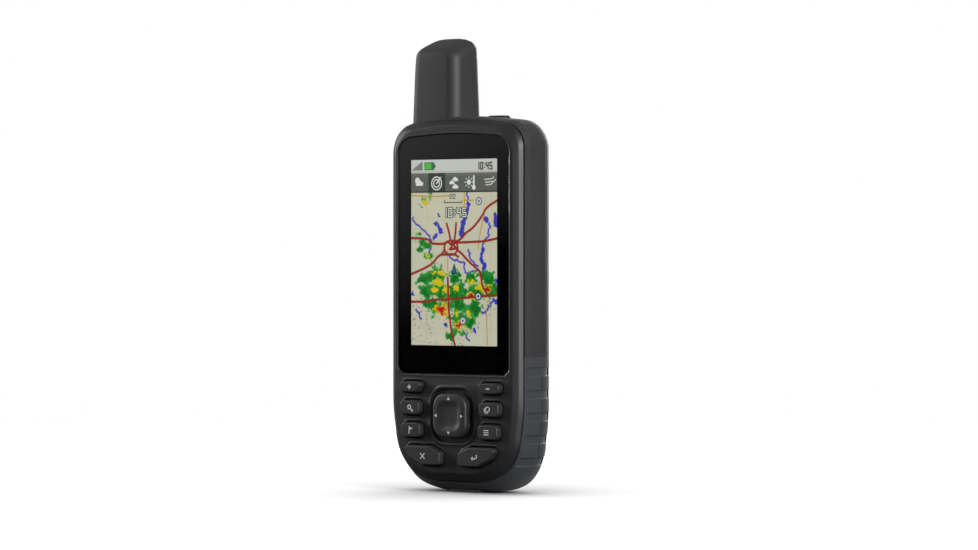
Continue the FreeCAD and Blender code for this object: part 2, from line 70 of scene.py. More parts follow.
# How far the outline steps in at the front: y, then inset at the sides, top and foot.
FRONT_LEVELS = (
    (FACE_Y, 3.8, 3.6, 6.8),
    (-13.4, 1.9, 2.2, 5.2),
    (SEAM_Y, 0.8, 1.1, 3.6),
    (-8.5, 0.3, 0.3, 0.9),
    (-5.0, 0.1, 0.1, 0.0),
    (BAND_Y, 0.0, 0.0, 0.0),
)
REAR_INSETS = (18.0, 13.0, 10.0)
FOOT_Y = 4.5


# ---- sizes and colours --------------------------------------------------------------
class CaseSettings(bpy.types.PropertyGroup):
    """Sizes of the case's front and of its rubber grip."""

    lip: bpy.props.FloatProperty(
        name="Well lip", description="Height of the soft rim round each key well",
        default=0.28 * MM, unit="LENGTH")
    rib_depth: bpy.props.FloatProperty(
        name="Rib depth", description="How far the blocks of the grip stand above its strips",
        default=0.7 * MM, unit="LENGTH")
    groove: bpy.props.FloatProperty(
        name="Groove depth", description="Depth of the groove that splits the blocks",
        default=0.9 * MM, unit="LENGTH")


class KeySettings(bpy.types.PropertyGroup):
    """Shape of the keys and their marks."""

    edge: bpy.props.FloatProperty(
        name="Edge radius", description="Rounding of each key's upper edge",
        default=0.5 * MM, unit="LENGTH")
    mark: bpy.props.FloatProperty(
        name="Mark size", description="Width of the printed mark on a key",
        default=2.6 * MM, unit="LENGTH")


class DisplaySettings(bpy.types.PropertyGroup):
    """The picture on the display."""

    columns: bpy.props.IntProperty(
        name="Columns", description="Picture elements across", default=240)
    rows: bpy.props.IntProperty(
        name="Rows", description="Picture elements down", default=400)
    width: bpy.props.FloatProperty(
        name="Picture width", description="Width of the lit picture",
        default=40.0 * MM, unit="LENGTH")
    height: bpy.props.FloatProperty(
        name="Picture height", description="Height of the lit picture",
        default=66.7 * MM, unit="LENGTH")
    glow: bpy.props.FloatProperty(
        name="Backlight", description="Brightness of the lit picture", default=0.95)
    seed: bpy.props.IntProperty(
        name="Seed", description="Seed of the terrain and cloud patterns", default=7)


class StageSettings(bpy.types.PropertyGroup):
    """Camera, floor and lights."""

    lens: bpy.props.FloatProperty(
        name="Lens", description="Focal length in millimetres", default=142.92)
    sky: bpy.props.FloatProperty(
        name="Surround", description="Brightness of the surround as a light", default=0.36)
    reach: bpy.props.FloatProperty(
        name="Floor radius", description="Radius of the white floor", default=600.0 * MM, unit="LENGTH")


class ScrewSettings(bpy.types.PropertyGroup):
    """Sizes of the case screws."""

    head: bpy.props.FloatProperty(
        name="Head radius", description="Radius of a screw's head", default=2.0 * MM, unit="LENGTH")
    height: bpy.props.FloatProperty(
        name="Head height", description="Height of a screw's head", default=1.6 * MM, unit="LENGTH")
    shank: bpy.props.FloatProperty(
        name="Shank radius", description="Radius of a screw's shank", default=0.98 * MM, unit="LENGTH")
    slot: bpy.props.FloatProperty(
        name="Slot width", description="Width of each arm of the cross recess", default=0.5 * MM,
        unit="LENGTH")


GROUPS = {
    "nav_case": CaseSettings,
    "nav_keys": KeySettings,
    "nav_display": DisplaySettings,
    "nav_stage": StageSettings,
    "nav_screws": ScrewSettings,
}


# ---- outlines -----------------------------------------------------------------------
def rounded(corners, steps=6):
    """Points of a closed outline whose corners (u, v, radius) are rounded."""
    count = len(corners)
    points = []
    for i, (u, v, radius) in enumerate(corners):
        here = np.array((u, v))
        before = np.array(corners[i - 1][:2]) - here
        after = np.array(corners[(i + 1) % count][:2]) - here
        room = 0.47 * min(np.linalg.norm(before), np.linalg.norm(after))
        before = before / np.linalg.norm(before)
        after = after / np.linalg.norm(after)
        half = math.acos(max(-1.0, min(1.0, before @ after))) / 2
        run = min(radius / math.tan(half), room)
        radius = run * math.tan(half)
        inward = (before + after) / np.linalg.norm(before + after)
        centre = here + inward * radius / math.sin(half)
        first = here + before * run - centre
        last = here + after * run - centre
        turn = math.acos(max(-1.0, min(1.0, first @ last / radius ** 2)))
        for k in range(steps + 1):
            part = k / steps
            share = math.sin((1 - part) * turn), math.sin(part * turn)
            points.append(centre + (first * share[0] + last * share[1]) / math.sin(turn))
    return np.array(points)


def mirrored(corners):
    """Full outline from its right half."""
    return list(corners) + [(-x, z, r) for x, z, r in reversed(corners) if x > 0]


def other_side(corners):
    """The same outline on the left, still going round the same way."""
    return [(-x, z, r) for x, z, r in reversed(corners)]


def rectangle(u0, u1, v0, v1, radius):
    return [(u0, v1, radius), (u1, v1, radius), (u1, v0, radius), (u0, v0, radius)]


def grown(points, amount):
    """Outline points moved outwards along the outline's normal."""
    ahead = np.roll(points, -1, axis=0) - points
    behind = points - np.roll(points, 1, axis=0)
    ahead /= np.maximum(np.linalg.norm(ahead, axis=1, keepdims=True), 1e-9)
    behind /= np.maximum(np.linalg.norm(behind, axis=1, keepdims=True), 1e-9)
    along = ahead + behind
    along /= np.maximum(np.linalg.norm(along, axis=1, keepdims=True), 1e-9)
    normal = np.stack((-along[:, 1], along[:, 0]), axis=1)
    centre = points.mean(axis=0)
    if ((points - centre) * normal).sum() < 0:
        normal = -normal
    return points + normal * amount


def case_insets(y):
    """Insets of the case outline at a plane y: sides, top and foot."""
    if y <= BAND_Y:
        levels = np.array(FRONT_LEVELS)
        return [float(np.interp(y, levels[:, 0], levels[:, column])) for column in (1, 2, 3)]
    turn = min(1.0, (y - BAND_Y) / (BACK_Y - BAND_Y))
    foot_turn = min(1.0, max(0.0, (y - FOOT_Y) / (BACK_Y - FOOT_Y)))
    round_in = 1 - math.sqrt(1 - turn * turn)
    foot_in = 1 - math.sqrt(1 - foot_turn * foot_turn)
    return [REAR_INSETS[0] * round_in, REAR_INSETS[1] * round_in, REAR_INSETS[2] * foot_in]


def case_points(y, extra=0.0, steps=6):
    """Points of the case outline at a plane y, stepped in by extra."""
    side, top, foot = [inset + extra for inset in case_insets(y)]
    corners = []
    for x, z, radius in OUTLINE:
        if z > MID_Z:
            z = MID_Z + (z - MID_Z) * (1 - top / (TOP_Z - MID_Z))
        else:
            z = MID_Z - (MID_Z - z) * (1 - foot / MID_Z)
        corners.append((x * (1 - side / HALF_W), z, radius))
    return rounded(mirrored(corners), steps)


# ---- meshes -------------------------------------------------------------------------
def mesh_object(name, verts, faces, material, flat=False):
    """An object in the scene from points in millimetres, with its faces pointing outwards."""
    mesh = bpy.data.meshes.new(name)
    mesh.from_pydata([tuple(float(c) * MM for c in v) for v in verts], [], faces)
    tidy = bmesh.new()
    tidy.from_mesh(mesh)
    bmesh.ops.remove_doubles(tidy, verts=tidy.verts, dist=1e-7)
    bmesh.ops.recalc_face_normals(tidy, faces=tidy.faces)
    tidy.to_mesh(mesh)
    tidy.free()
    mesh.polygons.foreach_set("use_smooth", [not flat] * len(mesh.polygons))
    mesh.materials.append(material)
    piece = bpy.data.objects.new(name, mesh)
    bpy.context.scene.collection.objects.link(piece)
    return piece


def place(piece, body, slot, *nodes):
    """Puts a finished piece on its body and hides the CAD nodes it stands for."""
    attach(piece, body)
    if nodes:
        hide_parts(*nodes)
    return piece


def weighted(piece, angle=40.0):
    """Keeps flat faces flat beside small rounded edges."""
    piece.data.set_sharp_from_angle(angle=math.radians(angle))
    modifier = piece.modifiers.new("Weighted normals", "WEIGHTED_NORMAL")
    modifier.keep_sharp = True
    modifier.weight = 80
    return piece


def within(point, ring):
    """Whether a point lies inside a closed ring of points."""
    inside = False
    for a, b in zip(ring, ring[1:] + ring[:1]):
        if (a.y > point.y) != (b.y > point.y):
            if point.x < (b.x - a.x) * (point.y - a.y) / (b.y - a.y) + a.x:
                inside = not inside
    return inside


class Shape:
    """Collects rings and faces of one closed mesh, in millimetres."""

    def __init__(self):
        self.verts = []
        self.faces = []

    def ring(self, points, y):
        """Adds a ring in a plane that faces the front; y may be one number or one per point."""
        start = len(self.verts)
        ys = np.broadcast_to(y, len(points))
        self.verts += [(p[0], d, p[1]) for p, d in zip(points, ys)]
        return list(range(start, start + len(points)))

    def flat_ring(self, points, z):
        """Adds a ring in a level plane."""
        start = len(self.verts)
        self.verts += [(p[0], p[1], z) for p in points]
        return list(range(start, start + len(points)))

    def draped_ring(self, points, heights):
        """Adds a ring whose points each have their own height."""
        start = len(self.verts)
        self.verts += [(p[0], p[1], z) for p, z in zip(points, heights)]
        return list(range(start, start + len(points)))

    def join(self, first, second):
        """Faces between two rings of the same length."""
        count = len(first)
        for i in range(count):
            j = (i + 1) % count
            self.faces.append((first[i], first[j], second[j], second[i]))

    def chain(self, rings):
        for first, second in zip(rings, rings[1:]):
            self.join(first, second)

    def cap(self, ring):
        """Closes a ring with one flat face."""
        self.faces.append(tuple(ring))

    def fan(self, ring, centre):
        """Closes a ring towards one point."""
        self.verts.append(centre)
        tip = len(self.verts) - 1
        for i, a in enumerate(ring):
            self.faces.append((a, ring[(i + 1) % len(ring)], tip))

    def fill(self, rings):
        """Fills the flat area between an outer ring and the rings inside it."""
        flat = [[Vector((self.verts[i][0], self.verts[i][2])) for i in ring] for ring in rings]
        origin = [i for ring in rings for i in ring]
        edges = []
        start = 0
        for ring in rings:
            edges += [(start + k, start + (k + 1) % len(ring)) for k in range(len(ring))]
            start += len(ring)
        points, _, faces, sources, _, _ = delaunay_2d_cdt(sum(flat, []), edges, [], 0, 1e-5)
        for face in faces:
            middle = sum((points[i] for i in face), Vector((0, 0))) / len(face)
            if sum(within(middle, ring) for ring in flat) % 2:
                self.faces.append(tuple(origin[sources[i][0]] for i in face))

    def make(self, name, material, flat=False):
        return mesh_object(name, self.verts, self.faces, material, flat)


def quarter(radius, steps):
    """Steps of a quarter round: how far in, and how far short of the top."""
    angles = [math.pi / 2 * k / steps for k in range(steps + 1)]
    return [(radius * (1 - math.cos(a)), radius * (1 - math.sin(a))) for a in angles]


# ---- materials ----------------------------------------------------------------------
def linear(colour):
    """sRGB hex to linear RGBA."""
    channels = [int(colour[i:i + 2], 16) / 255 for i in (1, 3, 5)]
    return [c / 12.92 if c <= 0.04045 else ((c + 0.055) / 1.055) ** 2.4 for c in channels] + [1.0]


def socket_key(text):
    """A socket's name, or its number where the text is digits."""
    text = text.strip("_")
    return int(text) if text.isdigit() else text.replace("_", " ")


def add(tree, kind, settings=(), **links):
    """Adds one node; a setting named in_X is an input's value, and a link is an output socket."""
    node = tree.nodes.new(kind)
    for key, value in dict(settings).items():
        if key.startswith("in_"):
            node.inputs[socket_key(key[3:])].default_value = value
        else:
            setattr(node, key, value)
    for key, socket in links.items():
        tree.links.new(socket, node.inputs[socket_key(key)])
    return node


def finish(name, colour, roughness, metallic=0.0, **more):
    """A principled material with its uniform values on the shader's own sockets."""
    material = bpy.data.materials.new(name)
    material.use_nodes = True
    tree = material.node_tree
    shader = tree.nodes["Principled BSDF"]
    shader.inputs["Base Color"].default_value = linear(colour)
    shader.inputs["Roughness"].default_value = roughness
    shader.inputs["Metallic"].default_value = metallic
    if not metallic:
        shader.inputs["IOR"].default_value = 1.5
    for key, value in more.items():
        shader.inputs[key.replace("_", " ")].default_value = value
    return material, tree, shader


def grain(tree, shader, colour, size_mm, height_mm, tone, polish):
    """Moulded or cast grain: bump, a little tone and a little gloss, at a real size."""
    where = add(tree, "ShaderNodeTexCoord").outputs["Object"]
    fine = add(tree, "ShaderNodeTexNoise", {
        "in_Scale": 1000.0 / size_mm, "in_Detail": 3.0, "in_Roughness": 0.6}, Vector=where)
    broad = add(tree, "ShaderNodeTexNoise", {"in_Scale": 60.0, "in_Detail": 2.0}, Vector=where)
    bump = add(tree, "ShaderNodeBump", {
        "in_Strength": 1.0, "in_Distance": height_mm * MM}, Height=fine.outputs["Fac"])
    tree.links.new(bump.outputs["Normal"], shader.inputs["Normal"])
    low, high = [[c * (1 + side * tone) for c in linear(colour)[:3]] + [1.0] for side in (-1, 1)]
    both = add(tree, "ShaderNodeMath", {"operation": "ADD"}, _0=fine.outputs["Fac"], _1=broad.outputs["Fac"])
    spread = add(tree, "ShaderNodeMapRange", {"in_From_Min": 0.7, "in_From_Max": 1.3}, Value=both.outputs[0])
    ramp = add(tree, "ShaderNodeMix", {"data_type": "RGBA", "in_6": low, "in_7": high},
               _0=spread.outputs["Result"])
    tree.links.new(ramp.outputs[2], shader.inputs["Base Color"])
    rough = shader.inputs["Roughness"].default_value
    gloss = add(tree, "ShaderNodeMapRange", {
        "in_To_Min": rough - polish, "in_To_Max": rough + polish}, Value=broad.outputs["Fac"])
    tree.links.new(gloss.outputs["Result"], shader.inputs["Roughness"])


# Grained finishes: colour, roughness, grain size and height in millimetres, spread of tone and
# of gloss, and any other shader values.
FINISHES = {
    # ABS from a spark-eroded mould: an even matt grain about half a millimetre across.
    "spark_eroded_abs": ("#2a2a2b", 0.58, 0.45, 0.035, 0.10, 0.08, {}),
    # Polycarbonate blend with a fine satin mould finish, for the front.
    "satin_polycarbonate": ("#1d1d1e", 0.46, 0.35, 0.015, 0.08, 0.05, {}),
    # Blue-grey thermoplastic rubber moulded over the case: dull, soft sheen, dusty grain.
    "overmoulded_tpe": ("#2a2d32", 0.72, 0.5, 0.02, 0.10, 0.06, {"Sheen_Weight": 0.12}),
    # Silicone seals and caps: matt and even.
    "black_silicone": ("#1a1a1b", 0.65, 0.4, 0.01, 0.12, 0.08, {}),
    # Hard satin key caps, a shade lighter than the front so that their edges read.
    "key_resin": ("#242426", 0.5, 0.3, 0.012, 0.08, 0.05, {}),
    # Pale grey pad-printed marks, slightly uneven as ink is.
    "pad_print": ("#d4d5d2", 0.55, 0.25, 0.004, 0.06, 0.08, {}),
    # Black ink on the back of the glass, dense and even.
    "border_ink": ("#030304", 0.6, 0.6, 0.002, 0.1, 0.08, {"Specular_IOR_Level": 0.05}),
    # Blackened zinc plate on the screws, then bright rolled, plated and tinned metals: fine scratches.
    "black_zinc": ("#4a4a4c", 0.42, 0.25, 0.004, 0.06, 0.07, {"metallic": 1.0}),
    "stainless_steel": ("#b4b5b6", 0.32, 0.25, 0.004, 0.06, 0.07, {"metallic": 1.0}),
    "nickel_plate": ("#c9c6bd", 0.25, 0.25, 0.004, 0.06, 0.07, {"metallic": 1.0}),
    "gold_flash": ("#d9b15a", 0.28, 0.25, 0.004, 0.06, 0.07, {"metallic": 1.0}),
    "tinned_steel": ("#c6c7c6", 0.38, 0.25, 0.004, 0.06, 0.07, {"metallic": 1.0}),
    # Green solder mask over copper: glossy with slow waves.
    "solder_mask": ("#123a22", 0.35, 1.2, 0.01, 0.12, 0.08, {}),
    # Moulded chip epoxy: dull with a fine grit.
    "moulded_epoxy": ("#1b1b1c", 0.6, 0.3, 0.01, 0.12, 0.08, {}),
    # Thin films, amber and clear: smooth with a slight ripple.
    "polyimide_film": ("#a4621b", 0.35, 2.0, 0.003, 0.12, 0.08, {}),
    "polyester_film": ("#c9cfcb", 0.4, 2.0, 0.003, 0.12, 0.08, {}),
    # Plain grey sleeve shrunk round a cell: smooth, faintly drawn.
    "heat_shrunk_sleeve": ("#8d9094", 0.3, 2.5, 0.004, 0.12, 0.08, {}),
    # Unglazed ceramic: matt and chalky.
    "fired_ceramic": ("#cfc7b8", 0.7, 0.4, 0.01, 0.12, 0.08, {}),
}

# The CAD nodes whose shape is already right, by finish.
PAINTED = {
    "spark_eroded_abs": ("side_band", "rear_case", "battery_door"),
    "satin_polycarbonate": ("battery_tray", "mounting_spine"),
    "black_silicone": ("case_seal", "door_seal", "cam_seal", "usb_cap", "jack_cap", "power_key",
                       "keypad_mat", "antenna_lead"),
    "stainless_steel": ("rocker_pivot", "lock_cam", "d_ring", "card_socket"),
    "nickel_plate": ("contact_springs", "contact_plates", "power_switch", "usb_socket", "backup_cell"),
    "gold_flash": ("antenna_jack",), "black_zinc": ("spine_screws",),
    "tinned_steel": ("shield_can", "display_frame", "pressure_sensor"),
    "solder_mask": ("main_board",), "moulded_epoxy": ("board_chips", "buzzer", "memory_card"),
    "polyimide_film": ("display_flex",), "polyester_film": ("dome_sheet",),
    "fired_ceramic": ("antenna_core",), "heat_shrunk_sleeve": ("cell_left", "cell_right"),
}


MADE = {}


def stock(name):
    """A grained finish, made once and then kept."""
    if name not in MADE:
        colour, roughness, size, height, tone, polish, more = FINISHES[name]
        MADE[name], tree, shader = finish(name, colour, roughness, **more)
        grain(tree, shader, colour, size, height, tone, polish)
    return MADE[name]


def cover_glass():
    """Hard-coated glass: clear, smooth, a faint cool edge."""
    material, tree, shader = finish(
        "cover_glass", "#f4f7f6", 0.02, Transmission_Weight=1.0)
    where = add(tree, "ShaderNodeTexCoord")
    smear = add(tree, "ShaderNodeTexNoise", {"in_Scale": 45.0, "in_Detail": 4.0},
                Vector=where.outputs["Object"])
    gloss = add(tree, "ShaderNodeMapRange", {"in_To_Min": 0.01, "in_To_Max": 0.03},
                Value=smear.outputs["Fac"])
    tree.links.new(gloss.outputs["Result"], shader.inputs["Roughness"])
    return material


def lit_picture(glow):
    """Backlit display: each picture element shows its own colour through the panel."""
    material, tree, shader = finish(
        "lit_picture", "#000000", 0.4, Emission_Strength=glow, Specular_IOR_Level=0.2)
    colour = add(tree, "ShaderNodeVertexColor", {"layer_name": "Picture"})
    tree.links.new(colour.outputs["Color"], shader.inputs["Emission Color"])
    return material


def paint(node, material):
    """Gives a CAD node a finish without touching its mesh."""
    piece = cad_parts[node]
    piece.data.materials.clear()
    piece.data.materials.append(material)
    piece.data.polygons.foreach_set("use_smooth", [True] * len(piece.data.polygons))


# ---- the wells in the front ---------------------------------------------------------
ZOOM = [(12.6, MID_Z - 46.5, 1.2), (23.0, MID_Z - 46.5, 1.5), (23.0, MID_Z - 50.2, 1.8),
        (14.8, MID_Z - 50.2, 1.4)]
UPPER = rectangle(14.0, 22.8, MID_Z - 58.3, MID_Z - 53.3, 1.6)
LOWER = rectangle(13.5, 22.3, MID_Z - 66.4, MID_Z - 61.3, 1.6)
BOTTOM = [(9.0, MID_Z - 69.5, 1.6), (21.8, MID_Z - 69.5, 1.2), (18.6, MID_Z - 73.6, 3.0),
          (13.0, MID_Z - 76.2, 3.0), (4.3, MID_Z - 76.2, 1.2), (4.3, MID_Z - 71.6, 1.6)]
KEYS = {
    "zoom_in_key": other_side(ZOOM), "zoom_out_key": ZOOM,
    "find_key": other_side(UPPER), "page_key": UPPER,
    "mark_key": other_side(LOWER), "menu_key": LOWER,
    "quit_key": other_side(BOTTOM), "enter_key": BOTTOM,
}
KEY_TOP_Y = -17.5
FACE_WALL_Y = -12.9
ROCKER_Z = MID_Z - 58.4
WELL = rectangle(-9.6, 9.6, ROCKER_Z - 9.6, ROCKER_Z + 9.6, 5.5)
PAD = rectangle(-7.7, 7.7, ROCKER_Z - 7.9, ROCKER_Z + 7.9, 5.0)
GLASS = mirrored([(0.0, MID_Z + 42.9, 200.0), (25.9, MID_Z + 41.2, 6.5), (25.9, MID_Z - 43.8, 3.0)])
WINDOW = rectangle(-21.8, 21.8, MID_Z - 36.2, MID_Z + 35.2, 1.0)
KEY_GAP = 0.6
CASE_WALL = 2.2
WELL_FLOOR_Y = -13.8
PIVOT_HOLE = 4.7
PAD_TOP_Y = -17.2
PAD_UNDER_Y = -14.45
PAD_STEM = 2.8
PAD_EDGE = 0.9
MARK_THICK = 0.04


def circle(radius, x, z, count=48):
    turns = np.linspace(0, 2 * math.pi, count, endpoint=False)
    return np.stack((x + radius * np.sin(turns), z + radius * np.cos(turns)), axis=1)


class NAV_OT_front(bpy.types.Operator):
    """Front case: bevelled face with a recess for the glass and a lipped well for each key"""

    bl_idname = "nav.front"
    bl_label = "Front case"

    def execute(self, context):
        lip = context.scene.nav_case.lip / MM
        steps = 10
        shape = Shape()
        back_y = SEAM_Y - 0.3
        edges = ((back_y, 0.0, back_y), (SEAM_Y - 0.5, 0.0, SEAM_Y - 0.55), (-13.25, 0.0, -13.25),
                 (-13.4, 0.06, -13.45), (-13.7, 0.0, -13.7), (-14.6, 0.02, -14.6), (-14.8, 0.12, -14.82))
        outer = [shape.ring(case_points(plane, inset, steps), y) for plane, inset, y in edges]
        face = shape.ring(case_points(FACE_Y, 0.3, steps), FACE_Y)
        shape.chain(outer + [face])
        inner = shape.ring(case_points(back_y, CASE_WALL, steps), back_y)
        inner_deep = shape.ring(case_points(FACE_Y, 0.4, steps), FACE_WALL_Y)
        shape.join(outer[0], inner)
        shape.join(inner, inner_deep)
        in_face = [face]
        in_back = [inner_deep]
        glass = rounded(GLASS, steps)
        rim = [shape.ring(grown(glass, g), FACE_Y + d)
               for g, d in ((0.7, 0.0), (0.5, -0.07), (0.35, -0.09), (0.12, -0.02), (0.0, 0.12))]
        floor = shape.ring(glass, PICTURE_Y)
        window = shape.ring(rounded(WINDOW, 3), PICTURE_Y)
        window_back = shape.ring(rounded(WINDOW, 3), FACE_WALL_Y)
        shape.chain(rim + [floor])
        shape.fill([floor, window])
        shape.join(window, window_back)
        in_face.append(rim[0])
        in_back.append(window_back)
        for corners in KEYS.values():
            points = grown(rounded(corners, 5), KEY_GAP)
            rings = [shape.ring(grown(points, g), FACE_Y + d)
                     for g, d in ((0.55, 0.0), (0.4, -lip * 0.55), (0.2, -lip * 0.6),
                                  (0.05, -lip * 0.2), (0.0, 0.15))]
            rings.append(shape.ring(points, FACE_WALL_Y))
            shape.chain(rings)
            in_face.append(rings[0])
            in_back.append(rings[-1])
        points = rounded(WELL, 10)
        rings = [shape.ring(grown(points, g), FACE_Y + d)
                 for g, d in ((1.5, 0.0), (1.2, -lip * 0.8), (0.7, -lip * 1.3), (0.3, -lip),
                              (0.0, 0.0), (-0.15, 0.4))]
        rings.append(shape.ring(grown(points, -0.3), WELL_FLOOR_Y))
        hole = shape.ring(circle(PIVOT_HOLE, 0, ROCKER_Z), WELL_FLOOR_Y)
        hole_back = shape.ring(circle(PIVOT_HOLE, 0, ROCKER_Z), FACE_WALL_Y)
        shape.chain(rings)
        shape.fill([rings[-1], hole])
        shape.join(hole, hole_back)
        in_face.append(rings[0])
        in_back.append(hole_back)
        shape.fill(in_face)
        shape.fill(in_back)
        piece = weighted(shape.make("front_shell", stock("satin_polycarbonate")), 50)
        place(piece, "case", "bezel_plastic", "front_case")
        return {"FINISHED"}


# ---- keys ---------------------------------------------------------------------------
def bars(*boxes):
    """Outlines of straight bars (x, z, width, height) in units of the mark's width."""
    return [[(x - w / 2, z - h / 2), (x + w / 2, z - h / 2), (x + w / 2, z + h / 2), (x - w / 2, z + h / 2)]
            for x, z, w, h in boxes]


def stroke(points, width):
    """Outlines of a line of even width through points, one quad for each run."""
    quads = []
    for (x0, z0), (x1, z1) in zip(points, points[1:]):
        length = math.hypot(x1 - x0, z1 - z0)
        ux, uz = (x1 - x0) / length * width / 2, (z1 - z0) / length * width / 2
        quads.append([(x0 - ux + uz, z0 - uz - ux), (x1 + ux + uz, z1 + uz - ux),
                      (x1 + ux - uz, z1 + uz + ux), (x0 - ux - uz, z0 - uz + ux)])
    return quads


LINE = 0.13
MARKS = {
    "zoom_in_key": bars((0, 0, 0.62, LINE + 0.03), (0, 0.2, LINE + 0.03, 0.24), (0, -0.2, LINE + 0.03, 0.24)),
    "zoom_out_key": bars((0, 0, 0.62, LINE + 0.03)),
    "find_key": [(circle(0.34, -0.1, 0.1, 28), circle(0.2, -0.1, 0.1, 28))]
    + stroke([(0.17, -0.15), (0.44, -0.42)], LINE + 0.05),
    "page_key": stroke([(-0.42, 0.2), (-0.42, -0.4), (0.12, -0.4)], LINE)
    + stroke([(-0.2, 0.4), (0.42, 0.4), (0.42, -0.2), (-0.2, -0.2), (-0.2, 0.4)], LINE),
    "mark_key": stroke([(-0.28, -0.46), (-0.28, 0.46)], LINE)
    + [[(-0.28, 0.44), (0.4, 0.22), (-0.28, 0.0)]],
    "menu_key": bars((0, 0.3, 0.86, LINE), (0, 0, 0.86, LINE), (0, -0.3, 0.86, LINE)),
    "quit_key": stroke([(-0.34, 0.34), (0.34, -0.34)], LINE) + stroke([(-0.34, -0.34), (0.34, 0.34)], LINE),
    "enter_key": stroke([(0.42, 0.4), (0.42, -0.08), (-0.3, -0.08)], LINE)
    + [[(-0.22, 0.2), (-0.22, -0.36), (-0.56, -0.08)]],
}
MARK_AT = {
    "zoom_in_key": (-18.2, 48.4), "zoom_out_key": (18.2, 48.4), "find_key": (-17.9, 55.9),
    "page_key": (17.9, 55.9), "mark_key": (-17.5, 63.9), "menu_key": (17.5, 63.9),
    "quit_key": (-12.0, 73.1), "enter_key": (12.0, 73.1),
}


def printed(name, outlines, centre, size, surface, body, slot):
    """Flat print of small outlines, standing MARK_THICK proud of a plane y = surface."""
    shape = Shape()
    for outline in outlines:
        loops = outline if isinstance(outline, tuple) else (outline,)
        tops, lows = [], []
        for loop in loops:
            points = np.array(centre) + np.array(loop) * size
            tops.append(shape.ring(points, surface - MARK_THICK))
            lows.append(shape.ring(points, surface + MARK_THICK))
            shape.join(tops[-1], lows[-1])
        shape.fill(tops)
        shape.fill(lows)
    piece = shape.make(name, stock("pad_print"), flat=True)
    return place(piece, body, slot)


class NAV_OT_keys(bpy.types.Operator):
    """Eight key caps with eased edges and flat tops, each with its printed mark"""

    bl_idname = "nav.keys"
    bl_label = "Keys"

    def execute(self, context):
        settings = context.scene.nav_keys
        edge = settings.edge / MM
        for name, corners in KEYS.items():
            points = rounded(corners, 6)
            shape = Shape()
            skirt = ((0.85, -12.3), (0.85, -12.8), (0.33, -12.85), (0.05, KEY_TOP_Y + edge + 0.1))
            rings = [shape.ring(grown(points, out), y) for out, y in skirt]
            for inward, short in quarter(edge, 5):
                rings.append(shape.ring(grown(points, 0.02 - inward), KEY_TOP_Y + MARK_THICK + short))
            shape.chain(rings)
            shape.cap(rings[-1])
            shape.cap(rings[0])
            cap = weighted(shape.make(name + "_cap", stock("key_resin")), 60)
            place(cap, name, "key_plastic", name)
            x, down = MARK_AT[name]
            size = settings.mark / MM
            printed(name + "_mark", MARKS[name], (x, MID_Z - down), size,
                    KEY_TOP_Y + MARK_THICK, name, "key_plastic")
        return {"FINISHED"}


class NAV_OT_rocker(bpy.types.Operator):
    """Four-way rocker: a cushion-shaped pad, dished in the middle, with four arrow marks"""

    bl_idname = "nav.rocker"
    bl_label = "Rocker"

    def execute(self, context):
        points = rounded(PAD, 12)
        middle = np.array((0.0, ROCKER_Z))
        shape = Shape()
        rings = [shape.ring(grown(points, 0.15), PAD_UNDER_Y), shape.ring(grown(points, 0.0), -16.0)]
        for inward, short in quarter(PAD_EDGE, 6):
            rings.append(shape.ring(grown(points, -inward), PAD_TOP_Y + short))
        rim = grown(points, -PAD_EDGE)
        profile = ((0.86, -17.3), (0.76, -17.28), (0.68, -17.1), (0.6, -16.85), (0.5, -16.72),
                   (0.35, -16.66), (0.18, -16.64))
        for part, y in profile:
            rings.append(shape.ring(middle + (rim - middle) * part, y))
        shape.chain(rings)
        shape.fan(rings[-1], (0.0, -16.63, ROCKER_Z))
        under = circle(PAD_STEM, 0, ROCKER_Z, len(points))
        start = int(np.argmin(np.hypot(*(under - points[0]).T)))
        under = np.roll(under, -start, axis=0)
        low = [rings[0], shape.ring(under, PAD_UNDER_Y), shape.ring(under, -12.25)]
        shape.chain(low)
        shape.cap(low[-1])
        pad = weighted(shape.make("rocker_cap", stock("key_resin")), 60)
        place(pad, "rocker_pad", "key_plastic", "rocker_pad")
        arrow = [(0.0, 0.6), (0.62, -0.42), (-0.62, -0.42)]
        turned = {0: (0, 6.1), 90: (-5.9, 0), 180: (0, -6.1), 270: (5.9, 0)}
        outlines = []
        for degrees, (x, z) in turned.items():
            c, s = math.cos(math.radians(degrees)), math.sin(math.radians(degrees))
            outlines.append([(x + u * c - v * s, z + u * s + v * c) for u, v in arrow])
        printed("rocker_marks", outlines, (0.0, ROCKER_Z), 1.0,
                -17.28, "rocker_pad", "key_plastic")
        return {"FINISHED"}


# ---- grip ---------------------------------------------------------------------------
GRIP_TOP = MID_Z - 37.0
GRIP_BACK_Y = 6.0
GRIP_LOW_Z = 8.2
GRIP_WALL = 1.25
STRIPS = [(MID_Z - 43.9 - 8.05 * i, MID_Z - 43.9 - 8.05 * i + 3.0) for i in range(5)]


def step(x, edge, width):
    """Soft step up at an edge."""
    t = np.clip((x - edge) / width + 0.5, 0, 1)
    return t * t * (3 - 2 * t)


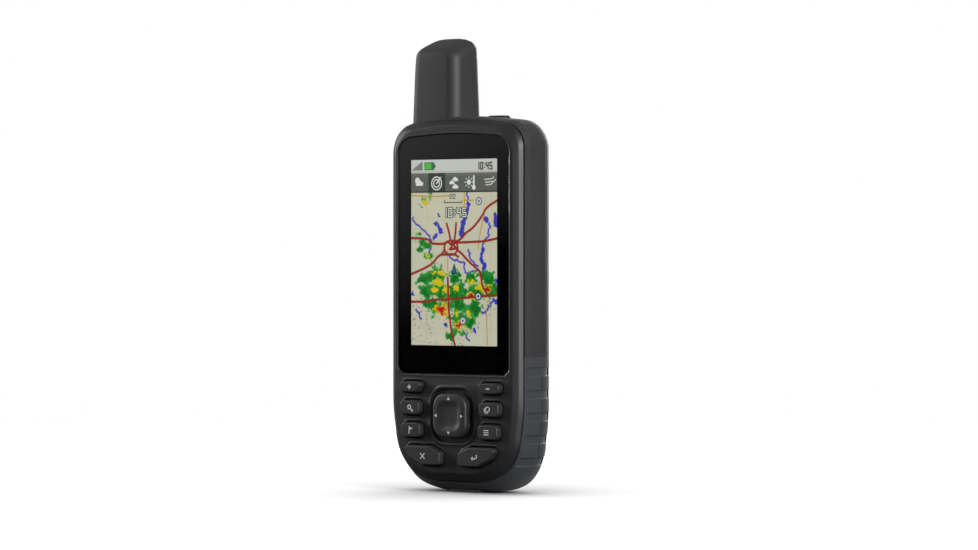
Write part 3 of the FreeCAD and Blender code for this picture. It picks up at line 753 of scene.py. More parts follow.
class NAV_OT_grip(bpy.types.Operator):
    """Rubber grip round the lower sides and the foot, with raised blocks between recessed strips"""

    bl_idname = "nav.grip"
    bl_label = "Rubber grip"

    def heights(self):
        """Heights of the rows of points down one side, close together at the edges of each strip."""
        rows = [GRIP_TOP, GRIP_TOP - 0.12, GRIP_TOP - 0.3]
        for low, high in STRIPS:
            for edge in (high, low):
                rows += [edge + d for d in (0.35, 0.18, 0.09, 0.0, -0.09, -0.18, -0.35)]
            rows += [low + 1.0, low + 2.0]
            rows += [low - d for d in (1.3, 2.5, 3.7)]
        rows += [46.5, 44.5] + [32.0 - 0.8 * k for k in range(30)]
        rows = [z for z in rows if z > GRIP_LOW_Z + 0.3] + [GRIP_LOW_Z]
        return sorted(set(round(z, 3) for z in rows), reverse=True)

    def path(self, y, extra):
        """Points down the right side, across the foot and up the left side, at a plane y."""
        outline = case_points(y, extra, 14)
        right = outline[outline[:, 0] > 0]
        right = right[np.argsort(-right[:, 1])]
        zs = self.heights()
        xs = np.interp([-z for z in zs], -right[:, 1], right[:, 0])
        side = np.stack((xs, zs), axis=1)
        foot = outline[(outline[:, 1] < GRIP_LOW_Z) & (outline[:, 0] > 0)]
        foot = foot[np.argsort(-foot[:, 0])]
        foot = np.vstack((side[-1:], foot, [(0.0, foot[-1, 1])]))
        run = np.concatenate(([0], np.cumsum(np.hypot(*np.diff(foot, axis=0).T))))
        even = np.linspace(0, run[-1], 26)[1:]
        low = np.stack((np.interp(even, run, foot[:, 0]), np.interp(even, run, foot[:, 1])), axis=1)
        half = np.vstack((side, low))
        return np.vstack((half, (half * (-1, 1))[-2::-1]))

    def execute(self, context):
        settings = context.scene.nav_case
        depth = settings.rib_depth / MM
        groove = settings.groove / MM
        front_y = SEAM_Y + 0.3
        ys = [front_y, front_y + 0.1, front_y + 0.3, -10.9, -10.6, -10.45, -10.3, -10.15, -10.0, -8.5, -6.8,
              -5.0, -3.6, -2.85, -2.7, -2.6, -2.5, -2.3, -2.1, -2.0, -1.9, -1.75, -0.6, 0.8, 2.2, 3.6, 4.8,
              5.7, 5.9, GRIP_BACK_Y]
        grid = np.array([[(p[0], y, p[1]) for p in self.path(y, 0.0)] for y in ys])
        across = np.gradient(grid, axis=0)
        along = np.gradient(grid, axis=1)
        normal = np.cross(across, along)
        normal /= np.linalg.norm(normal, axis=2, keepdims=True)
        middle = np.array((0.0, -2.0, 60.0))
        if ((grid - middle) * normal).sum() < 0:
            normal = -normal
        z = grid[:, :, 2]
        y = grid[:, :, 1]
        strip = np.zeros_like(z)
        for low, high in STRIPS:
            strip = np.maximum(strip, step(z, low, 0.26) * (1 - step(z, high, 0.26)))
        strip *= step(y, -10.3, 0.6)
        split = (1 - step(np.abs(y - BAND_Y), 0.34, 0.3)) * step(z, 13.0, 0.5) * step(-z, 3.0 - GRIP_TOP, 0.5)
        edge = 1 - step(GRIP_TOP - z, 0.15, 0.3)
        ends = 1 - step(np.minimum(y - front_y, GRIP_BACK_Y - y), 0.12, 0.24)
        relief = np.maximum(strip * depth, split * (1 - strip) * groove)
        sunk = np.maximum(relief, np.maximum(edge, ends) * 0.22)
        outer = grid - normal * sunk[:, :, None]
        inner = grid - normal * GRIP_WALL
        inner[0] = outer[0] - normal[0] * (GRIP_WALL - sunk[0][:, None])
        rows, columns = z.shape
        verts = np.vstack((outer.reshape(-1, 3), inner.reshape(-1, 3)))
        verts[:, 2] = np.maximum(verts[:, 2], 0.02)
        below = rows * columns
        faces = []
        for r in range(rows - 1):
            for c in range(columns - 1):
                a = r * columns + c
                quad = (a, a + 1, a + columns + 1, a + columns)
                faces.append(quad)
                faces.append(tuple(below + i for i in reversed(quad)))
        for c in range(columns - 1):
            for r in (0, rows - 1):
                a = r * columns + c
                faces.append((a, a + 1, below + a + 1, below + a))
        for r in range(rows - 1):
            for c in (0, columns - 1):
                a = r * columns + c
                faces.append((a, a + columns, below + a + columns, below + a))
        piece = mesh_object("grip_sleeve", verts, faces, stock("overmoulded_tpe"))
        place(weighted(piece, 70), "case", "grip_rubber", "grip_rubber")
        pad = Shape()
        foot = rounded(rectangle(-7.4, 7.4, -8.4, 3.9, 1.6), 5)
        low = [pad.flat_ring(grown(foot, -0.15), 0.0), pad.flat_ring(foot, 0.15), pad.flat_ring(foot, 0.9)]
        pad.chain(low)
        pad.cap(low[0])
        pad.cap(low[-1])
        place(weighted(pad.make("foot_pad", stock("overmoulded_tpe")), 40), "case", "grip_rubber")
        return {"FINISHED"}


# ---- case, band and antenna ---------------------------------------------------------
class NAV_OT_case(bpy.types.Operator):
    """Finishes of the pieces whose shape is already right: band, back, antenna, door and small parts"""

    bl_idname = "nav.case"
    bl_label = "Case finishes"

    def execute(self, context):
        for name, nodes in PAINTED.items():
            for node in nodes:
                paint(node, stock(name))
        return {"FINISHED"}


SCREWS = [(side * 24.2, z) for side in (-1, 1) for z in (53.0, 85.0, 117.0)]
HEAD_Y = 4.0
SHANK_END_Y = -12.3


class NAV_OT_screws(bpy.types.Operator):
    """Six case screws with cross recesses, one screw set out by nodes on six points"""

    bl_idname = "nav.screws"
    bl_label = "Case screws"

    def tree(self):
        """Node tree: a headed screw, cut with a cross, stood on every point."""
        tree = bpy.data.node_groups.new("case_screws", "GeometryNodeTree")
        face = tree.interface
        face.new_socket("Geometry", in_out="OUTPUT", socket_type="NodeSocketGeometry")
        face.new_socket("Geometry", in_out="INPUT", socket_type="NodeSocketGeometry")
        for name in ("Head radius", "Head height", "Shank radius", "Slot width", "Shank length"):
            face.new_socket(name, in_out="INPUT", socket_type="NodeSocketFloat")
        face.new_socket("Material", in_out="INPUT", socket_type="NodeSocketMaterial")
        given = add(tree, "NodeGroupInput").outputs
        turned = {"in_Rotation": (math.pi / 2, 0.0, 0.0)}

        def half(socket, sign):
            """Vector along Y of half a length."""
            part = add(tree, "ShaderNodeMath", {"operation": "MULTIPLY", "in_1": 0.5 * sign}, _0=socket)
            return add(tree, "ShaderNodeCombineXYZ", Y=part.outputs[0]).outputs[0]

        head = add(tree, "GeometryNodeMeshCylinder", {"in_Vertices": 40},
                   Radius=given["Head radius"], Depth=given["Head height"])
        head = add(tree, "GeometryNodeTransform", turned, Geometry=head.outputs["Mesh"],
                   Translation=half(given["Head height"], 1))
        shank = add(tree, "GeometryNodeMeshCylinder", {"in_Vertices": 24},
                    Radius=given["Shank radius"], Depth=given["Shank length"])
        shank = add(tree, "GeometryNodeTransform", turned, Geometry=shank.outputs["Mesh"],
                    Translation=half(given["Shank length"], -1))
        lift = add(tree, "ShaderNodeCombineXYZ", Y=given["Head height"])
        cut = add(tree, "GeometryNodeMeshBoolean", {"operation": "DIFFERENCE"}, _0=head.outputs[0])
        for flip in (False, True):
            size = add(tree, "ShaderNodeCombineXYZ", {"in_Y": 1.4 * MM})
            tree.links.new(given["Head radius"], size.inputs["Z" if flip else "X"])
            tree.links.new(given["Slot width"], size.inputs["X" if flip else "Z"])
            arm = add(tree, "GeometryNodeMeshCube", Size=size.outputs[0])
            arm = add(tree, "GeometryNodeTransform", Geometry=arm.outputs["Mesh"], Translation=lift.outputs[0])
            tree.links.new(arm.outputs[0], cut.inputs[1])
        whole = add(tree, "GeometryNodeJoinGeometry")
        for part in (cut, shank):
            tree.links.new(part.outputs[0], whole.inputs[0])
        stand = add(tree, "GeometryNodeInstanceOnPoints", Points=given["Geometry"], Instance=whole.outputs[0])
        real = add(tree, "GeometryNodeRealizeInstances", Geometry=stand.outputs[0])
        dressed = add(tree, "GeometryNodeSetMaterial", Geometry=real.outputs[0], Material=given["Material"])
        end = add(tree, "NodeGroupOutput")
        tree.links.new(dressed.outputs[0], end.inputs["Geometry"])
        return tree

    def execute(self, context):
        settings = context.scene.nav_screws
        piece = mesh_object("case_screw_set", [(x, HEAD_Y, z) for x, z in SCREWS], [], stock("black_zinc"))
        modifier = piece.modifiers.new("Screws", "NODES")
        modifier.node_group = self.tree()
        values = {"Head radius": settings.head, "Head height": settings.height,
                  "Shank radius": settings.shank, "Slot width": settings.slot,
                  "Shank length": (HEAD_Y - SHANK_END_Y) * MM, "Material": stock("black_zinc")}
        for item in modifier.node_group.interface.items_tree:
            if item.in_out == "INPUT" and item.name in values:
                modifier[item.identifier] = values[item.name]
        piece.update_tag()
        solid = piece.evaluated_get(context.evaluated_depsgraph_get())
        mesh = bpy.data.meshes.new_from_object(solid)
        if not mesh.polygons:
            raise RuntimeError("the screws came out empty")
        piece.modifiers.clear()
        piece.data = mesh
        place(piece, "case", "screw_steel", "case_screws")
        return {"FINISHED"}


ANT_MIDDLE = (-14.3, -1.1)
ANT_LEVELS = ((119.5, 11.35, 8.95, 4.6), (150.0, 10.6, 8.0, 4.4), (170.0, 9.9, 7.3, 4.2))
ANT_TOP = 163.9
ANT_SHOULDER = 148.0
ANT_EDGE = 1.9


class NAV_OT_antenna(bpy.types.Operator):
    """Antenna cover: tapered stub with soft corners, whose domed top falls away to the front"""

    bl_idname = "nav.antenna"
    bl_label = "Antenna cover"

    def section(self, z, inset):
        """Outline of the stub seen from above at a height, drawn in by an inset."""
        levels = np.array(ANT_LEVELS)
        half_x, half_y, radius = [float(np.interp(z, levels[:, 0], levels[:, k])) for k in (1, 2, 3)]
        x, y = ANT_MIDDLE
        return rounded(rectangle(x - half_x + inset, x + half_x - inset, y - half_y + inset,
                                 y + half_y - inset, max(0.4, radius - inset * 0.45)), 10)

    def roof(self, points):
        """Height of the top surface: an arch from side to side on a slope up to the back."""
        across = (points[:, 0] - ANT_MIDDLE[0]) / 10.2
        back = np.clip((points[:, 1] + 9.5) / 12.5, 0, 1.25)
        slope = 5.0 * (1 - np.minimum(back, 1.0)) ** 1.15 + 2.4 * np.maximum(back - 0.95, 0)
        arch = np.where(across > 0.1, 3.4 * np.abs(across - 0.1) ** 2.6, 1.1 * np.abs(across - 0.1) ** 4)
        return ANT_TOP - slope - arch

    def execute(self, context):
        shape = Shape()
        rings = [shape.flat_ring(self.section(z, 0.0), z) for z in (119.6, 130.0, 140.0, ANT_SHOULDER)]
        for part in (0.35, 0.7):
            points = self.section(ANT_SHOULDER + 10.0 * part, 0.0)
            top = self.roof(points) - ANT_EDGE
            rings.append(shape.draped_ring(points, ANT_SHOULDER + (top - ANT_SHOULDER) * part))
        for inward, short in quarter(ANT_EDGE, 6):
            points = self.section(160.0, inward)
            rings.append(shape.draped_ring(points, self.roof(points) - short))
        middle = np.array(ANT_MIDDLE)
        last = self.section(160.0, ANT_EDGE)
        for part in (0.8, 0.6, 0.4, 0.2):
            points = middle + (last - middle) * part
            rings.append(shape.draped_ring(points, self.roof(points)))
        shape.chain(rings)
        shape.fan(rings[-1], (middle[0], middle[1], float(self.roof(middle[None])[0])))
        shape.cap(rings[0])
        piece = shape.make("antenna_shell", stock("spark_eroded_abs"))
        place(piece, "case", "case_plastic", "antenna_cover")
        return {"FINISHED"}


# ---- glass and picture --------------------------------------------------------------
class NAV_OT_glass(bpy.types.Operator):
    """Cover glass with ground edges, over a black printed border"""

    bl_idname = "nav.glass"
    bl_label = "Cover glass"

    def execute(self, context):
        points = grown(rounded(GLASS, 12), -0.12)
        front_y, back_y = -14.65, PICTURE_Y - 0.15
        shape = Shape()
        rings = [shape.ring(grown(points, -0.25), back_y), shape.ring(points, back_y - 0.1),
                 shape.ring(points, front_y + 0.2)]
        rings += [shape.ring(grown(points, -inward), front_y + short) for inward, short in quarter(0.2, 4)]
        shape.chain(rings)
        shape.cap(rings[0])
        shape.cap(rings[-1])
        place(weighted(shape.make("cover_glass", cover_glass()), 50), "case", "glass", "display_glass")
        settings = context.scene.nav_display
        half_w, half_h = settings.width / MM / 2, settings.height / MM / 2
        opening = rounded(rectangle(-half_w, half_w, MID_Z - half_h, MID_Z + half_h, 0.3), 2)
        border = Shape()
        outer = grown(points, -0.1)
        fronts = [border.ring(outer, back_y + 0.02), border.ring(opening, back_y + 0.02)]
        backs = [border.ring(outer, PICTURE_Y - 0.02), border.ring(opening, PICTURE_Y - 0.02)]
        border.fill(fronts)
        border.fill(backs)
        border.join(fronts[0], backs[0])
        border.join(fronts[1], backs[1])
        place(border.make("glass_border", stock("border_ink"), flat=True), "case", "adhesive", "glass_adhesive")
        return {"FINISHED"}


class Picture:
    """A picture drawn with soft-edged shapes, x and y in millimetres from the display's centre."""

    def __init__(self, columns, rows, width, height, seed):
        self.x, self.y = np.meshgrid(
            (np.arange(columns) + 0.5) / columns * width - width / 2,
            height / 2 - (np.arange(rows) + 0.5) / rows * height)
        self.dot = width / columns
        self.rgb = np.zeros((rows, columns, 3))
        self.random = np.random.default_rng(seed)

    def lay(self, mask, colour, strength=1.0):
        """Lays a colour where the mask is 1."""
        mask = np.clip(mask, 0, 1)[:, :, None] * strength
        tone = np.array([int(colour[i:i + 2], 16) / 255 for i in (1, 3, 5)])
        self.rgb = self.rgb * (1 - mask) + tone * mask

    def inside(self, distance, soft=1.0):
        """Mask of a shape from its signed distance in millimetres."""
        return np.clip(0.5 - distance / (self.dot * soft), 0, 1)

    def block(self, x0, x1, y0, y1):
        return self.inside(np.maximum(np.abs(self.x - (x0 + x1) / 2) - (x1 - x0) / 2,
                                      np.abs(self.y - (y0 + y1) / 2) - (y1 - y0) / 2))

    def disc(self, x, y, radius):
        return self.inside(np.hypot(self.x - x, self.y - y) - radius)

    def reach(self, points, smooth=True):
        """Distance in millimetres from a line through points, rounded by corner cutting."""
        path = np.array(points, float)
        for _ in range(2 if smooth else 0):
            if len(path) > 2:
                near = path[:-1] * 0.75 + path[1:] * 0.25
                far = path[:-1] * 0.25 + path[1:] * 0.75
                inner = np.stack((near, far), axis=1).reshape(-1, 2)
                path = np.vstack((path[:1], inner, path[-1:]))
        best = np.full(self.x.shape, 1e9)
        for (ax, ay), (bx, by) in zip(path, path[1:]):
            dx, dy = bx - ax, by - ay
            part = np.clip(((self.x - ax) * dx + (self.y - ay) * dy) / max(dx * dx + dy * dy, 1e-9), 0, 1)
            best = np.minimum(best, np.hypot(self.x - ax - part * dx, self.y - ay - part * dy))
        return best

    def line(self, points, width, smooth=True):
        return self.inside(self.reach(points, smooth) - width / 2)

    def noise(self, size, octaves=3):
        """Smooth random field about size millimetres across, from 0 to 1."""
        field = np.zeros(self.x.shape)
        weight, total = 1.0, 0.0
        for _ in range(octaves):
            columns = int(abs(self.x[0, 0]) * 2 / size) + 4
            rows = int(abs(self.y[0, 0]) * 2 / size) + 4
            lattice = self.random.random((rows, columns))
            u = (self.x - self.x.min()) / size
            v = (self.y - self.y.min()) / size
            i, j = np.floor(v).astype(int), np.floor(u).astype(int)
            fi, fj = v - i, u - j
            fi, fj = fi * fi * (3 - 2 * fi), fj * fj * (3 - 2 * fj)
            top = lattice[i, j] * (1 - fj) + lattice[i, j + 1] * fj
            low = lattice[i + 1, j] * (1 - fj) + lattice[i + 1, j + 1] * fj
            field += weight * (top * (1 - fi) + low * fi)
            total += weight
            weight, size = weight * 0.5, size * 0.5
        return field / total

    def blob(self, x, y, rx, ry, rough):
        """Height of a ragged cloud, 1 at its middle and 0 at its edge."""
        return 1 - np.hypot((self.x - x) / rx, (self.y - y) / ry) + (rough - 0.5) * 1.5


SEGMENTS = {
    "0": "abcdef", "1": "bc", "2": "abged", "3": "abgcd", "4": "fgbc",
    "5": "afgcd", "6": "afgedc", "7": "abc", "8": "abcdefg", "9": "abcdfg",
}


TIME = "10:45"
NO_DOTS = ((), 0.0, 0.0)


def digit(picture, char, x, y, width, height, thick):
    """Mask of one seven-segment digit whose lower left corner is at (x, y)."""
    left, right, low, high, mid = x, x + width, y, y + height, y + height / 2
    runs = {
        "a": ((left, high), (right, high)), "b": ((right, high), (right, mid)),
        "c": ((right, mid), (right, low)), "d": ((left, low), (right, low)),
        "e": ((left, mid), (left, low)), "f": ((left, high), (left, mid)),
        "g": ((left, mid), (right, mid)),
    }
    mask = np.zeros(picture.x.shape)
    for name in SEGMENTS[char]:
        mask = np.maximum(mask, picture.line(runs[name], thick, smooth=False))
    return mask


def write(picture, text, x, y, size, pitch, dots, layers):
    """Writes digits and colons; dots gives a colon's heights, shift and step, and a layer its widths."""
    heights, shift, jump = dots
    for char in text:
        for thick, radius, colour in layers:
            if char == ":":
                for height in heights:
                    picture.lay(picture.disc(x + shift, height, radius), colour)
            else:
                picture.lay(digit(picture, char, x, y, *size, thick), colour)
        x += jump if char == ":" else pitch


def finer(points):
    """The same line with points added halfway along each run."""
    middle = [((x0 + x1) / 2, (y0 + y1) / 2) for (x0, y0), (x1, y1) in zip(points, points[1:])]
    return [p for pair in zip(points, middle) for p in pair] + [points[-1]]


class NAV_OT_display(bpy.types.Operator):
    """Display panel: a grid of picture elements that shows a weather map under a status bar"""

    bl_idname = "nav.display"
    bl_label = "Display picture"

    def ground(self, p):
        """Pale map ground with faint relief, farm roads and specks."""
        p.lay(np.ones(p.x.shape), "#cfccb4")
        relief = p.noise(9.0, 4)
        p.lay(np.clip(relief * 2.2 - 1.1, 0, 1), "#dacfb6", 0.8)
        p.lay(np.clip(0.9 - relief * 2.0, 0, 1), "#c3c8b0", 0.8)
        speck = p.noise(0.5, 2)
        p.lay(np.clip((speck - 0.69) * 12, 0, 1) * (p.y < -14) * (p.noise(7.0, 1) > 0.4), "#3c4a52", 0.85)
        for x in (-12.6, -4.2, 4.6, 14.2, 17.1):
            sway = 0.5 * math.sin(x * 3.0)
            p.lay(p.line([(x, 24), (x + sway, 10), (x - sway, -8), (x, -34)], 0.16), "#d8a978", 0.8)
        for y in (17.6, 12.4, 3.3, -15.5, -27.4):
            p.lay(p.line([(-20, y), (-6, y + 0.4), (8, y - 0.3), (20, y + 0.2)], 0.14), "#d9b184", 0.7)

    def water(self, p):
        """Lakes and rivers."""
        blue = "#3a3cb8"
        wander = (p.noise(1.3, 3) - 0.5) * 2.3
        rivers = [
            [(-19.4, 12.7), (-18.8, 11.0), (-16.2, 9.4), (-13.6, 7.6), (-11.5, 5.9), (-10.7, 4.3),
             (-10.9, 1.6), (-11.8, -0.8)],
            [(15.9, 10.5), (16.8, 9.2), (15.6, 7.4), (16.2, 6.1), (13.3, 3.4), (13.3, 1.2)],
            [(-2.9, -0.8), (0.4, -3.1), (1.3, -2.4), (2.5, -3.5), (4.9, -3.5), (4.9, -6.7), (6.0, -7.6),
             (8.4, -6.7), (10.2, -6.5)],
            [(6.3, 1.0), (7.5, -0.4), (6.9, -1.5), (9.0, -3.5), (10.8, -4.9)],
            [(17.9, -17.1), (16.7, -19.0), (15.2, -20.5), (14.1, -21.7), (11.4, -20.5)],
            [(4.2, -28.2), (5.4, -29.5), (6.7, -31.5)],
            [(5.8, 21.5), (6.4, 19.6), (6.6, 17.2)], [(-18.0, -20.5), (-16.4, -22.0), (-15.6, -24.0)],
        ]
        for river in rivers:
            bends = [(x + 0.45 * (-1) ** i, y) for i, (x, y) in enumerate(finer(river))]
            p.lay(p.inside(p.reach(bends) - 0.3, 2), blue)
        lakes = [
            (1.9, [(6.6, 17.2), (6.0, 13.9), (5.1, 11.4), (3.9, 9.9), (3.4, 8.3), (3.7, 6.5)]),
            (1.5, [(13.2, 1.0), (12.6, -1.3), (12.9, -3.1), (14.1, -4.2), (13.5, -6.0)]),
            (1.3, [(-9.4, 10.6), (-8.9, 10.3), (-6.9, 9.0), (-6.0, 7.4)]),
            (1.3, [(-9.4, 5.6), (-8.2, 6.0)]), (0.9, [(-7.4, 13.6), (-7.2, 13.2)]),
            (1.7, [(19.0, 13.4), (19.4, 12.0), (19.4, 9.6)]), (1.2, [(18.4, -16.8), (19.8, -17.6)]),
            (1.3, [(19.4, -10.2), (19.4, -11.6)]), (1.1, [(3.4, -18.4), (5.6, -18.8), (6.2, -19.8)]),
            (0.9, [(-4.4, -26.0), (-3.8, -26.2)]), (1.0, [(14.6, 12.0), (15.4, 11.2)]),
            (0.9, [(-19.4, -15.0), (-18.8, -15.6)]), (1.0, [(9.4, -27.4), (9.9, -28.2)]),
        ]
        for width, lake in lakes:
            p.lay(p.inside(p.reach(lake) - width / 2 + wander, 2), blue)

    def weather(self, p):
        """Rain echoes in green, with yellow, orange and red cores."""
        rag = p.noise(3.2, 4)
        fine = p.noise(1.1, 3)
        fields = [
            (-13.6, 18.7, 3.4, 3.0), (-16.2, 6.5, 1.9, 1.5), (-15.3, 4.0, 2.6, 1.6), (-13.6, 2.7, 3.0, 1.6),
            (-15.9, 1.3, 2.0, 1.6), (-11.8, -1.6, 2.8, 1.8), (-13.6, -9.9, 4.4, 3.4), (-6.9, -8.0, 4.6, 3.6),
            (-12.6, -13.6, 5.6, 3.8), (-6.4, -13.6, 5.6, 4.8), (0.7, -9.4, 3.4, 3.0), (1.6, -13.6, 5.6, 4.6),
            (8.1, -9.4, 4.2, 3.4), (10.5, -13.2, 5.2, 3.8), (15.6, -9.8, 3.4, 3.4), (17.2, -13.4, 3.6, 3.8),
            (-7.6, -19.0, 4.6, 4.2), (1.9, -19.4, 5.2, 4.6), (9.6, -20.1, 3.8, 3.8), (2.8, -23.6, 5.4, 4.4),
            (6.6, -25.1, 4.0, 3.2), (1.6, -27.2, 4.6, 3.0), (-1.4, -30.3, 1.8, 2.6), (-12.4, -18.6, 3.4, 2.4),
        ]
        height = np.full(p.x.shape, -1.0)
        for x, y, rx, ry in fields:
            height = np.maximum(height, p.blob(x, y, rx, ry, rag * 0.8 + fine * 0.8 - 0.36))
        p.lay(np.clip(height * 6 + 0.1, 0, 1), "#7fb877", 0.7)
        p.lay(np.clip(height * 8 - 0.9, 0, 1), "#1d8a30", 0.92)
        p.lay(np.clip(height * 6 - 2.4, 0, 1) * (fine > 0.45), "#0f6a1b", 0.8)
        cores = [
            (-13.2, 18.2, 1.5, 1.4), (-12.1, -1.5, 1.0, 0.8), (-6.5, -7.4, 2.3, 0.9), (-7.1, -11.2, 1.9, 1.4),
            (-9.1, -13.0, 1.8, 1.3), (-3.8, -13.7, 1.4, 1.1), (8.1, -10.8, 1.5, 1.0), (0.9, -12.2, 1.0, 1.3),
            (12.2, -12.4, 1.6, 0.9), (6.6, -22.0, 1.3, 1.2), (1.6, -22.4, 1.2, 1.4),
            (-5.9, -20.8, 2.3, 2.0), (2.6, -25.9, 2.2, 1.6), (15.6, -13.1, 2.0, 1.2), (8.0, -15.6, 1.6, 1.2),
        ]
        for x, y, rx, ry in cores:
            heat = p.blob(x, y, rx * 1.15, ry * 1.15, fine * 1.7 - 0.42)
            p.lay(np.clip(heat * 6 + 0.8, 0, 1), "#b4c41c", 0.9)
            p.lay(np.clip(heat * 6 - 0.7, 0, 1), "#e3c21e")
        for x, y, rx, ry in cores[-4:]:
            heat = p.blob(x, y, rx * 0.85, ry * 0.85, fine * 1.4 - 0.28)
            p.lay(np.clip(heat * 6 + 0.4, 0, 1), "#df6d13")
            p.lay(np.clip(heat * 6 - 1.6, 0, 1), "#b3220f")

    def roads(self, p):
        """Highways with a dark casing, and a ring road."""
        minor = [
            [(4.8, 21.6), (4.8, 15.4)], [(4.8, 18.6), (9.0, 18.6)], [(13.9, 13.2), (12.1, 7.4), (11.2, 1.2)],
            [(-2.9, 1.0), (-2.9, -6.5)], [(-20, 20.6), (-9, 20.0), (-2, 20.4)], [(15.0, -20), (15.4, -33)],
        ]
        for road in minor:
            p.lay(p.line(road, 0.42), "#c8902c", 0.95)
        major = [
            [(20, 18.5), (14.7, 15.9), (13.3, 13.2), (8.6, 8.5), (5.4, 7.0), (3.1, 4.5), (-1.0, 3.6)],
            [(-20, 5.2), (-12.1, 5.0), (-10.7, 3.2), (-6.0, 3.0), (-4.5, 3.2), (-2.8, 3.9)],
            [(0.1, 3.4), (3.1, 3.6), (13.3, 3.9), (15.9, 4.3), (20, 5.0)],
            [(-3.4, 10.3), (-2.2, 7.0), (-1.6, 4.5)], [(1.0, 10.5), (0.7, 7.0), (0.2, 4.6)],
            [(-4.4, 1.0), (-5.6, -0.7), (-7.7, -1.5), (-9.4, -3.5), (-11.8, -4.9), (-16.0, -6.5), (-20, -7.8)],
            [(-5.5, -0.8), (-3.0, -0.7), (0.0, -0.6), (2.0, -1.5)],
            [(-1.0, 3.6), (1.6, 0.8), (3.7, -0.4), (6.0, -2.6), (9.6, -5.1), (12.3, -6.9), (12.6, -9.2),
             (12.9, -11.5), (15.3, -14.9)],
            [(-20, -17.8), (-12.1, -17.7), (-9.4, -16.9), (-2.9, -16.9), (1.6, -16.5), (6.6, -16.1),
             (13.2, -15.6), (20, -15.2)],
            [(-2.9, -9.0), (-2.6, -16.7), (-2.6, -20.1), (-1.7, -24.6), (-1.4, -27.6), (0.7, -34)],
            [(-2.8, 3.9), (-0.4, 2.0), (-2.6, 1.0), (0.8, 1.4)],
        ]
        for road in major:
            p.lay(p.line(road, 0.85), "#7a1d16")
            p.lay(p.line(road, 0.45), "#ad2f25")
        ring = np.abs(np.hypot(p.x + 1.4, (p.y - 1.7) * 1.2) - 3.1)
        p.lay(p.inside(ring - 0.42), "#7a1d16")
        p.lay(p.inside(ring - 0.22), "#ad2f25")
        for x, y, tone in ((11.5, 18.3, "#6a6a72"), (11.2, -15.6, "#23235e"), (4.1, -24.4, "#6a6a6a")):
            p.lay(p.disc(x, y, 1.5), tone)
            p.lay(p.disc(x, y, 1.05), "#d8dae0")
            p.lay(p.disc(x, y, 0.5), tone)

    def pointer(self, p):
        """Position arrow and scale bar."""
        wedge = np.maximum(np.abs(p.x - 0.1) - (-4.4 - p.y) * 0.36, -(p.y + 7.5))
        p.lay(p.inside(wedge - 0.25), "#173a5e")
        p.lay(p.inside(wedge + 0.25), "#2b6a9c")
        p.lay(p.line([(-4.5, 18.6), (-4.5, 17.9), (3.7, 17.9), (3.7, 18.6)], 0.34, smooth=False), "#55554c")
        write(p, "20", -1.9, 19.3, (0.9, 1.5), 1.5, NO_DOTS, ((0.3, 0, "#55554c"),))

    def clock(self, p):
        """Outlined time over the map."""
        write(p, TIME, -5.0, 12.8, (1.5, 3.0), 2.5, ((13.5, 15.0), 0.2, 1.5),
              ((1.0, 0.62, "#2e2f2e"), (0.42, 0.3, "#e9eadd")))

    def bars(self, p):
        """Status bar with signal, battery and time, and the row of five weather tabs."""
        p.lay(p.block(-21, 21, 28.7, 34), "#cfcfca")
        p.lay(p.block(-21, 21, 28.5, 29.2), "#b9b9b2", 0.8)
        for i in range(7):
            x = -19.3 + i * 0.68
            p.lay(p.block(x, x + 0.44, 29.6, 30.1 + i * 0.42), "#39413a")
        p.lay(p.block(-13.8, -9.2, 29.6, 32.4), "#2f7a2e")
        p.lay(p.block(-13.4, -10.6, 29.95, 32.05), "#5dbb4c")
        p.lay(p.block(-9.3, -8.7, 30.4, 31.6), "#2c3a2c")
        write(p, TIME, 10.6, 29.7, (0.95, 2.3), 1.75, ((30.3, 31.6), 0.0, 0.75), ((0.46, 0.26, "#23241f"),))
        p.lay(p.block(-21, 21, 21.8, 28.5), "#5f605a")
        p.lay(p.block(-21, 21, 27.4, 28.5), "#6f706a", 0.6)
        p.lay(p.block(-12.0, -4.1, 21.8, 28.5), "#33362f")
        p.lay(p.block(-21, 21, 21.5, 21.9), "#23241f")
        white = "#e6e7e2"
        p.lay(p.disc(-17.1, 25.9, 1.1) * p.block(-19, -14, 25.0, 28), white)
        self.cloud(p, -16.2, 24.7, 0.8, white)
        for radius in (2.3, 1.35):
            p.lay(p.inside(np.abs(np.hypot(p.x + 8.1, p.y - 24.8) - radius) - 0.24), white)
        p.lay(p.line([(-8.1, 24.8), (-6.3, 26.9)], 0.6), white)
        self.cloud(p, 0.5, 26.0, 0.62, white)
        self.cloud(p, -0.9, 25.0, 0.6, "#5f605a")
        self.cloud(p, -1.0, 24.9, 0.55, white)
        self.cloud(p, 0.6, 23.4, 0.62, white)
        p.lay(p.disc(6.9, 25.1, 0.9), white)
        for k in range(8):
            a = k * math.pi / 4
            c, s = math.cos(a), math.sin(a)
            p.lay(p.line([(6.9 + 1.3 * c, 25.1 + 1.3 * s), (6.9 + 2.0 * c, 25.1 + 2.0 * s)], 0.3), white)
        p.lay(p.line([(9.2, 27.2), (9.2, 23.6)], 0.72), white)
        p.lay(p.disc(9.2, 23.2, 0.85), white)
        for k, (y, length) in enumerate(((26.0, 3.4), (25.0, 4.2), (24.0, 3.0))):
            gust = [(14.2 + 0.3 * k, y), (14.4 + length, y + 0.2), (14.9 + length, y + 0.9)]
            p.lay(p.line(gust, 0.36), white)

    def cloud(self, p, x, y, size, colour):
        """Small cloud icon: three discs on a flat base."""
        mask = np.zeros(p.x.shape)
        for dx, dy, r in ((-1.3, 0.0, 0.85), (0.0, 0.5, 1.25), (1.4, 0.05, 0.9)):
            mask = np.maximum(mask, p.disc(x + dx * size, y + dy * size, r * size))
        p.lay(mask * p.block(x - 3, x + 3, y - 0.55 * size, y + 3), colour)
        p.lay(p.block(x - 1.9 * size, x + 2.0 * size, y - 0.85 * size, y - 0.3 * size), colour)

